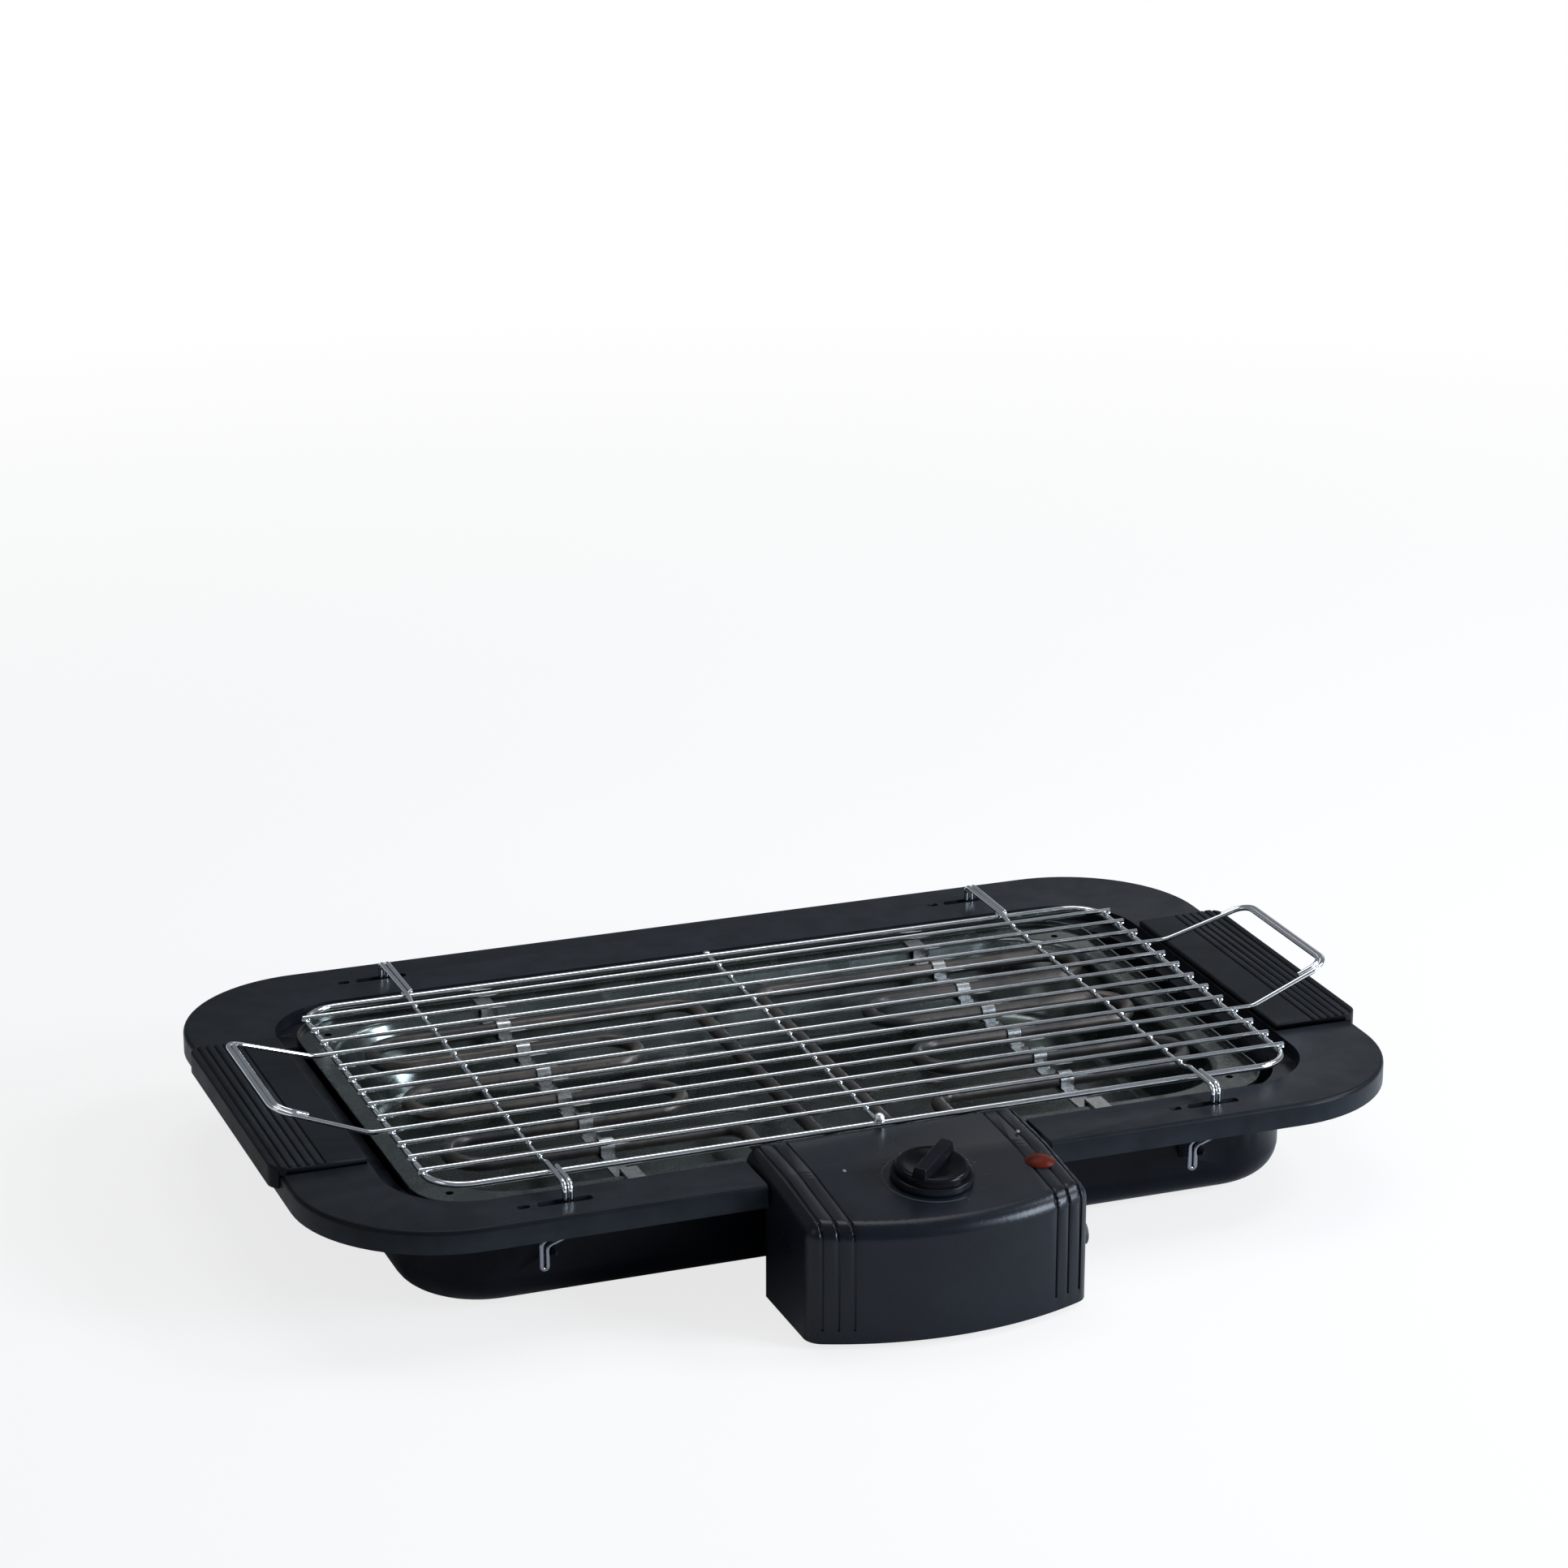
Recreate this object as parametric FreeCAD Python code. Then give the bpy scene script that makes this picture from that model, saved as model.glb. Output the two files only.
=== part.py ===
"""Table-top electric barbecue with a plug-in control unit, a drip tray and a wire grid.

Units are millimetres.  +X runs along the long side, -Y is the front with the control
unit, +Z is up.  The pieces are drawn about the middle of the cooking grid and are moved
to the finished origin, the middle of the bottom of the bounding box, when written.
"""
import FreeCAD, Part
import math
import os
from FreeCAD import Vector

# ---- cooking grid -----------------------------------------------------------------
WIRE_PITCH = 15.7            # spacing of the long wires
LONG_WIRE_COUNT = 13
HANDLE_ROW = 3               # rows from the middle to each handle run
GRID_LENGTH = 408.0          # over the ends of the long wires
LONG_WIRE_D = 2.2
FRAME_WIRE_D = 3.0
CROSS_WIRE_D = 2.2
WIRE_OVERHANG = 2.5          # long wires past the end runs of the frame
FRAME_CORNER_R = 17.0
GRID_LIFT = 8.0              # long wires above the rim
HANDLE_RUN_OUT = 8.0         # level stretch of a handle past the grid
HANDLE_REACH = 48.2          # middle of the doubled run past the grid
HANDLE_RISE = 14.7
HANDLE_TAPER = 5.8
HANDLE_CORNER_R = 9.0
HANDLE_BEND_R = 14.0
HANDLE_PAIR_PITCH = 2.4      # between the two wires of the doubled run
HANDLE_LAP = 14.0            # wire end lying beside the other wire
FOOT_WIRE_INSET = 52.7       # foot wires from the ends of the grid
FOOT_WIRE_SHIFT = 2.2        # both foot wires sit a little to the right
FOOT_REACH_FRONT = 18.8      # frame run to foot, front
FOOT_REACH_BACK = 42.0
FOOT_DEPTH = 39.0            # grid plane to foot tip
FOOT_PAIR_PITCH = 2.7        # between the two legs of a hairpin foot
FOOT_JOG = 10.6              # sideways step of a foot
FOOT_JOG_TOP = 22.5
FOOT_JOG_BOTTOM = 26.5
FOOT_BEND_R = 4.0

# ---- rim frame --------------------------------------------------------------------
GRID_END_GAP = 12.5          # long wire end to the opening
GRID_FRONT_GAP = 6.1         # frame run to the opening, front
GRID_BACK_GAP = 21.1
OPENING_R = 38.0
RIM_SIDE = 39.5
RIM_FRONT = 28.0
RIM_BACK = 41.5
RIM_CORNER_R = 67.0
RIM_WALL = 3.0
RIM_EDGE_R = 2.0
SKIRT_DEPTH = 10.4
SLOT_WIDTH = 4.6
SLOT_END_CLEAR = 1.0         # foot to the end of its slot
SLOT_SPARE = 8.6             # extra slot length on the far side of the foot
PIN_HOLE_LENGTH = 5.6
PIN_HOLE_WIDTH = 3.4
PIN_HOLE_OFFSET = 5.6        # from the end of the slot

# ---- lower body -------------------------------------------------------------------
FOOT_HEIGHT = 3.5            # rubber foot below the body
BODY_DEPTH = 47.5            # outside, bottom to ledge
LEDGE_DROP = 7.0             # rim top to ledge
BODY_INSET = 6.2             # opening edge to the outside of the body
BODY_R = 40.0
BODY_WALL = 3.0
BODY_FILLET = 14.0
LEDGE_CLEAR = 0.4            # ledge plate to the inside of the rim skirt
REST_RIB = 2.4
REST_CLEAR = 0.4
FOOT_D = 24.0
FOOT_STEM_D = 8.0
FOOT_INSET_X = 45.0
FOOT_INSET_Y = 38.0

# ---- grips ------------------------------------------------------------------------
GRIP_FRONT = 61.0            # grid middle to the front end of a grip
GRIP_BACK = 88.0
GRIP_OVERHANG = 4.0          # past the rim
GRIP_LIP = 6.0               # lip beside the skirt
GRIP_INNER_H = 3.0
GRIP_OUTER_H = 4.0
GRIP_EDGE_GAP = 1.0
GRIP_CORNER_R = 7.0
GRIP_EDGE_R = 1.0
GROOVE_COUNT = 6
GROOVE_PITCH = 4.0
GROOVE_WIDTH = 1.3
GROOVE_DEPTH = 0.7
PEG_D = 6.0
PEG_FIT = 0.1

# ---- drip tray --------------------------------------------------------------------
TRAY_SHIFT = -5.0            # the tray lies a little to the left in its opening
TRAY_END_GAP = 16.0          # flange edge to the opening at the ends, with no shift
TRAY_GAP = 6.0               # flange edge to the opening, front and back
TRAY_FLANGE = 12.0
TRAY_SHEET = 0.8
TRAY_DEPTH = 34.0
TRAY_TAPER = 14.0
TRAY_CORNER_R = 28.0
TRAY_MOUTH_R = 40.0
TRAY_LIP = 2.4
TRAY_HOLE_D = 3.6
TRAY_HOLE_INSET_X = 16.0     # hole in the flange's corner, to its edges
TRAY_HOLE_INSET_Y = 20.0

# ---- heating element --------------------------------------------------------------
TUBE_D = 6.5
ELEMENT_X = -1.0             # middle of the element's two tubes
RUN_SPACING = 30.0           # between neighbouring runs
RUN_COUNT = 6
RUN_SHIFT = 5.5              # middle of the runs behind the middle of the mouth
ELEMENT_INSET = 28.0         # end bends from the ends of the grid
ELEMENT_DROP = 5.75          # level of the runs below the inlet
LEAD_DIP = 10.0              # length over which the inlet tubes come down
INNER_BEND_X = 58.5
LEAD_BEND_R = 9.0
LEAD_IN_X = 16.5             # inner cold ends from the middle
LEAD_INSET = 18.5            # outer cold ends from the sides of the unit
BRACKET_INSET = 94.0         # strips from the ends of the grid
BRACKET_WIDTH = 8.0
BRACKET_SHEET = 1.2
STRAP_SHEET = 0.8
STRAP_FOOT = 3.5
BRACKET_FOOT = 9.0           # strip lying on the tray flange
BRACKET_WALL_GAP = 0.5       # strip to the tray wall
STRAP_CLEAR = 0.05
STRAP_SHARE = 0.8            # of the strip's width

# ---- control unit -----------------------------------------------------------------
UNIT_X = 1.5                 # middle of the unit
UNIT_WIDTH = 129.0
UNIT_BACK_GAP = 7.0          # back wall behind the rim's front edge
UNIT_DEPTH = 50.5            # back wall to the front corners
UNIT_BULGE = 14.5
UNIT_GROUND_CLEAR = 3.0
UNIT_WALL = 2.5
UNIT_ROOF = 2.0
UNIT_CORNER_R = 9.0
UNIT_TOP_R = 8.0
UNIT_SLOPE = 6.5             # degrees, down to the front
TONGUE_SLOPE = 2.0
SLOPE_BREAK = 10.0           # change of slope in front of the back wall
SLOPE_BEND_R = 120.0
TONGUE_TOP = 4.8             # above the rim at its back end
TONGUE_CLEAR = 0.4           # tongue above the ledge
TONGUE_GAP = 2.9             # back end to the frame run of the grid
NOTCH_CLEAR = 1.5
PLATE_SHEET = 1.0
PLATE_CLEAR = 0.2
TUBE_HOLE_CLEAR = 0.1
TUBE_END = 1.0               # tube end in front of the back wall
UNIT_GROOVES = 3
UNIT_GROOVE_PITCH = 6.4
UNIT_GROOVE_EDGE = 5.5
UNIT_GROOVE_WIDTH = 1.2
UNIT_GROOVE_DEPTH = 0.6
POST_D = 8.0
POST_INSET = 9.0
COVER_SHEET = 2.5
GLAND_Z = 22.0
GLAND_D = 12.0
GLAND_BORE = 7.6
GLAND_FLANGE = 2.0
GLAND_NOSE = 7.0
GLAND_NOSE_WALL = 1.6
COVER_SCREW_LENGTH = 10.0
ROOF_MARGIN = 40.0           # cutting blocks past the unit
BLOCK_SHIFT = 8.0            # terminal block from the middle of the unit
BLOCK_BACK = 30.0            # and from its back wall
BLOCK_LENGTH = 30.0
BLOCK_WIDTH = 16.0
BLOCK_HEIGHT = 12.0
BLOCK_POLES = 3
BLOCK_WIRE_D = 3.4
BLOCK_SCREW_D = 4.0

# ---- knob, thermostat, lamp and switch --------------------------------------------
KNOB_SHIFT = 1.0             # right of the middle of the unit
KNOB_BACK = 27.0             # knob axis in front of the back wall
KNOB_D = 36.0
KNOB_SKIRT = 3.0
KNOB_HEIGHT = 11.0
KNOB_GRIP_D = 32.0
KNOB_DOME_R = 2.5            # rounding of the round part's shoulder
KNOB_RIDGE = 9.0
KNOB_LIFT = 0.6              # above the roof
KNOB_TURN = 45.0             # ridge direction from +X, degrees
SHAFT_D = 6.0
SHAFT_FIT = 0.05
SHAFT_HOLE_D = 8.0
THERMO_SIZE = 26.0
THERMO_HEIGHT = 14.0
THERMO_GAP = 3.0             # bracket to the thermostat case
THERMO_TABS = 16.0           # between its two tabs
SHAFT_RUN = 7.0              # shaft inside the thermostat
KNOB_FLOOR = 3.0             # knob material over the end of the shaft
KNOB_SHOULDER = 4.0          # height of its round part above the skirt
KNOB_WALL = 2.0
PILOT_INSET = 13.5           # from the right side of the unit
PILOT_BACK = 27.5
PILOT_D = 13.0
PILOT_STEM_D = 10.5
PILOT_FIT = 0.1
PILOT_DOME = 2.4
PILOT_STEM = 9.0
PILOT_WALL = 1.5
LAMP_BASE = 4.0
SWITCH_CLEAR = 1.15            # to the saddles on both sides
SWITCH_WIDTH = 9.0
SWITCH_HEIGHT = 5.6
PLUNGER_D = 2.4
PLUNGER_FIT = 0.1
PLUNGER_GAP = 0.05
PLUNGER_IN = 2.2             # inside the switch
PLUNGER_TRAVEL = 1.8

TAB_WIDTH = 6.3
TAB_LENGTH = 8.0
TAB_SHEET = 0.8
PIN_LENGTH = 5.0
PIN_D = 2.6

# ---- fasteners --------------------------------------------------------------------
SCREW_D = 3.0
SCREW_HEAD_D = 6.0
SCREW_HEAD_H = 1.8

# ---- levels and outlines worked out from the sizes above ---------------------------
BODY_BOTTOM = FOOT_HEIGHT
LEDGE_TOP = BODY_BOTTOM + BODY_DEPTH
RIM_TOP = LEDGE_TOP + LEDGE_DROP
GRID_Z = RIM_TOP + GRID_LIFT
FRAME_Z = GRID_Z - (LONG_WIRE_D + FRAME_WIRE_D) / 2.0
CROSS_Z = GRID_Z - (LONG_WIRE_D + CROSS_WIRE_D) / 2.0
ROW_SPAN = (LONG_WIRE_COUNT - 1) / 2.0 * WIRE_PITCH
FRAME_RUN = ROW_SPAN + WIRE_PITCH
FRAME_END = GRID_LENGTH / 2.0 - WIRE_OVERHANG
OPEN_X = GRID_LENGTH / 2.0 + GRID_END_GAP
OPEN_FRONT = -(FRAME_RUN + GRID_FRONT_GAP)
OPEN_BACK = FRAME_RUN + GRID_BACK_GAP
RIM_X = OPEN_X + RIM_SIDE
RIM_Y0 = OPEN_FRONT - RIM_FRONT
RIM_Y1 = OPEN_BACK + RIM_BACK
UNIT_BACK = RIM_Y0 + UNIT_BACK_GAP
UNIT_FRONT = UNIT_BACK - UNIT_DEPTH
UNIT_NOSE = UNIT_FRONT - UNIT_BULGE
TONGUE_BACK = -(FRAME_RUN + TONGUE_GAP)
TONGUE_BOTTOM = LEDGE_TOP + TONGUE_CLEAR
TRAY_TOP = LEDGE_TOP + TRAY_SHEET
INLET_Z = TONGUE_BOTTOM + PLATE_SHEET + 0.1 + TUBE_D / 2.0
ELEMENT_Z = INLET_Z - ELEMENT_DROP
SLOPE = math.radians(UNIT_SLOPE)
BREAK_Y = UNIT_BACK - SLOPE_BREAK
BREAK_Z = RIM_TOP + TONGUE_TOP - (TONGUE_BACK - BREAK_Y) * math.tan(math.radians(TONGUE_SLOPE))
FOOT_LEFT = FOOT_JOG + FOOT_PAIR_PITCH / 2.0 + CROSS_WIRE_D / 2.0
SLOT_LEFT = FOOT_LEFT + SLOT_END_CLEAR
SLOT_RIGHT = FOOT_PAIR_PITCH / 2.0 + CROSS_WIRE_D / 2.0 + SLOT_SPARE
FOOT_Y = (-(FRAME_RUN + FOOT_REACH_FRONT), FRAME_RUN + FOOT_REACH_BACK)
FOOT_X = (FOOT_WIRE_SHIFT - GRID_LENGTH / 2.0 + FOOT_WIRE_INSET,
          FOOT_WIRE_SHIFT + GRID_LENGTH / 2.0 - FOOT_WIRE_INSET)
UNIT_LEFT = UNIT_X - UNIT_WIDTH / 2.0
UNIT_RIGHT = UNIT_X + UNIT_WIDTH / 2.0
KNOB_X = UNIT_X + KNOB_SHIFT
PILOT_X = UNIT_RIGHT - PILOT_INSET
LEAD_X = (LEAD_IN_X, UNIT_WIDTH / 2.0 - LEAD_INSET)
SADDLE_REACH = TUBE_D / 2.0 + STRAP_CLEAR + STRAP_SHEET + STRAP_FOOT
SWITCH_X = ELEMENT_X - sum(LEAD_X) / 2.0      # between the left tube's cold ends
SWITCH_LENGTH = LEAD_X[1] - LEAD_X[0] - 2.0 * (SADDLE_REACH + SWITCH_CLEAR)
BRACKET_X = GRID_LENGTH / 2.0 - BRACKET_INSET
MOUTH_FRONT = OPEN_FRONT + TRAY_GAP + TRAY_FLANGE
MOUTH_BACK = OPEN_BACK - TRAY_GAP - TRAY_FLANGE
ORIGIN_SHIFT = Vector(0.0, -(UNIT_NOSE + RIM_Y1) / 2.0, 0.0)


# ---- general helpers --------------------------------------------------------------
def box(x0, x1, y0, y1, z0, z1):
    """Return a box between two opposite corners."""
    return Part.makeBox(x1 - x0, y1 - y0, z1 - z0, Vector(x0, y0, z0))


def rod(diameter, height, base, axis=Vector(0, 0, 1)):
    """Return a round rod standing on base along axis."""
    return Part.makeCylinder(diameter / 2.0, height, base, axis)


def rounded_outline(x0, x1, y0, y1, radius, z):
    """Return a closed rounded-rectangle wire at height z."""
    r = min(radius, (x1 - x0) / 2.0 - 0.5, (y1 - y0) / 2.0 - 0.5)
    d = r * (1.0 - math.sqrt(0.5))
    p = [Vector(x0 + r, y0, z), Vector(x1 - r, y0, z), Vector(x1, y0 + r, z), Vector(x1, y1 - r, z),
         Vector(x1 - r, y1, z), Vector(x0 + r, y1, z), Vector(x0, y1 - r, z), Vector(x0, y0 + r, z)]
    corners = [Vector(x1 - d, y0 + d, z), Vector(x1 - d, y1 - d, z),
               Vector(x0 + d, y1 - d, z), Vector(x0 + d, y0 + d, z)]
    edges = []
    for i in range(4):
        edges.append(Part.LineSegment(p[2 * i], p[2 * i + 1]).toShape())
        edges.append(Part.Arc(p[2 * i + 1], corners[i], p[(2 * i + 2) % 8]).toShape())
    return Part.Wire(edges)


def rounded_slab(x0, x1, y0, y1, radius, z0, z1):
    """Return a rounded-rectangle slab between two heights."""
    face = Part.Face(rounded_outline(x0, x1, y0, y1, radius, z0))
    return face.extrude(Vector(0, 0, z1 - z0))


def slot_cutter(x0, x1, y, width, z0, z1):
    """Return a round-ended slot along X."""
    return rounded_slab(x0, x1, y - width / 2.0, y + width / 2.0, width / 2.0, z0, z1)


def bent_path(points, radii, closed=False):
    """Return a wire of straight runs joined by tangent arcs of the given radii."""
    count = len(points)
    starts = list(points)
    ends = list(points)
    mids = [None] * count
    for i in range(count):
        if not closed and i in (0, count - 1):
            continue
        before = (points[i - 1] - points[i]).normalize()
        after = (points[(i + 1) % count] - points[i]).normalize()
        half = before.getAngle(after) / 2.0
        reach = radii[i] / math.tan(half)
        starts[i] = points[i] + before * reach
        ends[i] = points[i] + after * reach
        inward = (before + after).normalize()
        mids[i] = points[i] + inward * (radii[i] / math.sin(half) - radii[i])
    edges = []
    for i in range(count):
        if mids[i] is not None:
            edges.append(Part.Arc(starts[i], mids[i], ends[i]).toShape())
        if i == count - 1 and not closed:
            break
        following = starts[(i + 1) % count]
        if ends[i].distanceToPoint(following) > 1e-4:
            edges.append(Part.LineSegment(ends[i], following).toShape())
    return Part.Wire(edges)


def bent_rod(points, radii, diameter, closed=False):
    """Sweep a round section along a bent path."""
    path = bent_path(points, radii, closed)
    start = path.Edges[0]
    at = start.valueAt(start.FirstParameter)
    along = start.tangentAt(start.FirstParameter)
    section = Part.Wire([Part.makeCircle(diameter / 2.0, at, along)])
    return path.makePipeShell([section], True, True)


def screw(head_base, length, axis):
    """Return a pan-head screw, the shank running along axis from the head's inner face."""
    back = Vector(axis).multiply(-SCREW_HEAD_H)
    head = rod(SCREW_HEAD_D, SCREW_HEAD_H, head_base + back, axis)
    recess = rod(SCREW_HEAD_D * 0.4, SCREW_HEAD_H * 0.5, head_base + back, axis)
    return head.cut(recess).fuse(rod(SCREW_D, length, head_base, axis)).removeSplitter()


def save(name, shapes):
    """Move a node to the finished origin and write it to parts/."""
    solids = []
    for shape in shapes if isinstance(shapes, list) else [shapes]:
        solids.extend(shape.Solids)
    moved = []
    for solid in solids:
        copy = solid.copy()
        copy.translate(ORIGIN_SHIFT)
        if not copy.isValid():
            raise ValueError(name + " is not a valid solid")
        moved.append(copy)
    result = moved[0] if len(moved) == 1 else Part.makeCompound(moved)
    result.exportStep(os.path.join("parts", name + ".step"))
    print(name, len(moved), round(result.Volume, 1))


# ---- lower body and rim -----------------------------------------------------------
def body_block(inset, z0, z1):
    """Return the lower body's plan as a block, taken in by inset."""
    off = BODY_INSET + inset
    return rounded_slab(-OPEN_X + off, OPEN_X - off, OPEN_FRONT + off, OPEN_BACK - off,
                        BODY_R - inset, z0, z1)


def rim_block(inset, z0, z1):
    """Return the rim's plan as a block, taken in by inset."""
    return rounded_slab(-RIM_X + inset, RIM_X - inset, RIM_Y0 + inset, RIM_Y1 - inset,
                        RIM_CORNER_R - inset, z0, z1)


def opening_block(outset, z0, z1):
    """Return the opening's plan as a block, grown by outset."""
    return rounded_slab(-OPEN_X - outset, OPEN_X + outset, OPEN_FRONT - outset, OPEN_BACK + outset,
                        OPENING_R + outset, z0, z1)


def filleted_bottom(block, radius):
    """Round the bottom edges of a block."""
    low = block.BoundBox.ZMin
    edges = [e for e in block.Edges if abs(e.BoundBox.ZMax - low) < 1e-3]
    return block.makeFillet(radius, edges)


def unit_notch(clear, z0, z1):
    """Return the cutter that lets the control unit pass through the front of the rim."""
    half = UNIT_WIDTH / 2.0 + clear
    return box(UNIT_X - half, UNIT_X + half, RIM_Y0 - 5.0, OPEN_FRONT + RIM_WALL, z0, z1)


def foot_cutters(grow, z0, z1):
    """Return the cutters for the four slots that take the grid's feet."""
    cutters = []
    for x in FOOT_X:
        for y in FOOT_Y:
            cutters.append(slot_cutter(x - SLOT_LEFT - grow, x + SLOT_RIGHT + grow, y,
                                       SLOT_WIDTH + 2.0 * grow, z0, z1))
    return cutters


def pin_hole_cutters(z0, z1):
    """Return the cutters for the small hole beside each slot."""
    cutters = []
    for x in FOOT_X:
        for y in FOOT_Y:
            middle = x - SLOT_LEFT - PIN_HOLE_OFFSET
            cutters.append(slot_cutter(middle - PIN_HOLE_LENGTH / 2.0, middle + PIN_HOLE_LENGTH / 2.0, y,
                                       PIN_HOLE_WIDTH, z0, z1))
    return cutters


def rest_rib(x, y, wall_y):
    """Return the rib on the body wall that carries one foot of the grid."""
    outward = 1.0 if y > wall_y else -1.0
    top = GRID_Z - FOOT_JOG_BOTTOM - CROSS_WIRE_D - REST_CLEAR
    tip = y + outward * CROSS_WIRE_D
    root = wall_y - outward * BODY_WALL / 2.0
    left = x - FOOT_JOG + FOOT_PAIR_PITCH / 2.0 + CROSS_WIRE_D / 2.0 + REST_CLEAR
    drop = abs(tip - wall_y) * 0.6
    profile = Part.makePolygon([Vector(left, root, top), Vector(left, tip, top),
                                Vector(left, tip, top - REST_RIB), Vector(left, root, top - drop),
                                Vector(left, root, top)])
    return Part.Face(profile).extrude(Vector(REST_RIB, 0, 0))


def rim_screw_places():
    """Return the plan places of the screws that hold the rim to the lower body."""
    mid_x = OPEN_X + RIM_SIDE / 2.0
    front = OPEN_FRONT - RIM_FRONT / 2.0
    back = OPEN_BACK + RIM_BACK / 2.0
    near = UNIT_WIDTH / 2.0 + 22.0
    return [(-near, front), (near + UNIT_X, front), (-near, back), (near, back),
            (-mid_x, OPEN_FRONT + 22.0), (mid_x, OPEN_FRONT + 22.0),
            (-mid_x, OPEN_BACK - 14.0), (mid_x, OPEN_BACK - 14.0)]


def foot_places():
    """Return the plan places of the four rubber feet."""
    x = OPEN_X - BODY_INSET - FOOT_INSET_X
    front = OPEN_FRONT + BODY_INSET + FOOT_INSET_Y
    back = OPEN_BACK - BODY_INSET - FOOT_INSET_Y
    return [(-x, front), (x, front), (-x, back), (x, back)]


def make_lower_body():
    """Return the bath-shaped lower body with its ledge, foot rests and holes."""
    shell = filleted_bottom(body_block(0.0, BODY_BOTTOM, LEDGE_TOP), BODY_FILLET)
    hollow = filleted_bottom(body_block(BODY_WALL, BODY_BOTTOM + BODY_WALL, LEDGE_TOP + 1.0),
                             BODY_FILLET - BODY_WALL)
    ledge = rim_block(RIM_WALL + LEDGE_CLEAR, LEDGE_TOP - BODY_WALL, LEDGE_TOP)
    notch_back = UNIT_BACK + NOTCH_CLEAR
    half = UNIT_WIDTH / 2.0 + NOTCH_CLEAR
    ledge = ledge.cut(box(UNIT_X - half, UNIT_X + half, RIM_Y0 - 5.0, notch_back,
                          LEDGE_TOP - BODY_WALL - 1.0, LEDGE_TOP + 1.0))
    body = shell.fuse(ledge)
    walls = (OPEN_FRONT + BODY_INSET, OPEN_BACK - BODY_INSET)
    for x in FOOT_X:
        for y, wall_y in zip(FOOT_Y, walls):
            body = body.fuse(rest_rib(x, y, wall_y))
    body = body.cut(hollow)
    low = LEDGE_TOP - BODY_WALL - 1.0
    cutters = foot_cutters(1.5, low, LEDGE_TOP + 1.0)
    for x, y in rim_screw_places():
        cutters.append(rod(SCREW_D + 0.4, BODY_WALL + 2.0, Vector(x, y, low)))
    for x, y in foot_places():
        cutters.append(rod(FOOT_STEM_D, BODY_WALL + 2.0, Vector(x, y, BODY_BOTTOM - 1.0)))
    return body.cut(cutters).removeSplitter()


def grip_peg_places():
    """Return the Y places of the pegs under each grip."""
    middle = (GRIP_BACK - GRIP_FRONT) / 2.0
    span = (GRIP_BACK + GRIP_FRONT) * 0.32
    return [middle - span, middle, middle + span]


def make_rim_frame():
    """Return the rim: a top plate with an outer skirt, an inner wall and its holes."""
    block = rim_block(0.0, RIM_TOP - SKIRT_DEPTH, RIM_TOP)
    top_edges = [e for e in block.Edges if abs(e.BoundBox.ZMin - RIM_TOP) < 1e-3]
    block = block.makeFillet(RIM_EDGE_R, top_edges)
    under = rim_block(RIM_WALL, RIM_TOP - SKIRT_DEPTH - 1.0, RIM_TOP - RIM_WALL)
    inner_wall = opening_block(RIM_WALL, LEDGE_TOP, RIM_TOP - RIM_WALL)
    rim = block.cut(under).fuse(inner_wall)
    for x, y in rim_screw_places():
        rim = rim.fuse(rod(POST_D, RIM_TOP - RIM_WALL - LEDGE_TOP, Vector(x, y, LEDGE_TOP)))
    rim = rim.cut(opening_block(0.0, LEDGE_TOP - 1.0, RIM_TOP + 1.0))
    notch_side = unit_notch(NOTCH_CLEAR + RIM_WALL, LEDGE_TOP, RIM_TOP - RIM_WALL / 2.0)
    notch_side = notch_side.common(rim_block(RIM_WALL / 2.0, LEDGE_TOP, RIM_TOP))
    rim = rim.fuse(notch_side)
    rim = rim.cut(opening_block(0.0, LEDGE_TOP - 1.0, RIM_TOP + 1.0))
    cutters = [unit_notch(NOTCH_CLEAR, RIM_TOP - SKIRT_DEPTH - 1.0, RIM_TOP + 1.0)]
    cutters += foot_cutters(0.0, LEDGE_TOP - 1.0, RIM_TOP + 1.0)
    cutters += pin_hole_cutters(RIM_TOP - RIM_WALL - 1.0, RIM_TOP + 1.0)
    for x, y in rim_screw_places():
        cutters.append(rod(SCREW_D, RIM_TOP - RIM_WALL - LEDGE_TOP, Vector(x, y, LEDGE_TOP - 1.0)))
    for x in (-(OPEN_X + RIM_SIDE / 2.0), OPEN_X + RIM_SIDE / 2.0):
        for y in grip_peg_places():
            cutters.append(rod(PEG_D + 2.0 * PEG_FIT, RIM_WALL + 2.0,
                               Vector(x, y, RIM_TOP - RIM_WALL - 1.0)))
    return rim.cut(cutters).removeSplitter()


def make_rim_screws():
    """Return the screws that come up through the ledge into the rim's posts."""
    under = LEDGE_TOP - BODY_WALL
    length = BODY_WALL + RIM_TOP - RIM_WALL - LEDGE_TOP - 1.2
    return [screw(Vector(x, y, under), length, Vector(0, 0, 1)) for x, y in rim_screw_places()]


def make_rubber_feet():
    """Return the four push-in rubber feet."""
    feet = []
    for x, y in foot_places():
        disc = rod(FOOT_D, FOOT_HEIGHT, Vector(x, y, 0.0))
        rim_edge = [e for e in disc.Edges if abs(e.BoundBox.ZMax) < 1e-3]
        disc = disc.makeFillet(1.0, rim_edge)
        stem = rod(FOOT_STEM_D, BODY_WALL, Vector(x, y, BODY_BOTTOM))
        barb = rod(FOOT_STEM_D + 3.0, 2.0, Vector(x, y, BODY_BOTTOM + BODY_WALL))
        feet.append(disc.fuse([stem, barb]).removeSplitter())
    return feet


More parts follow.
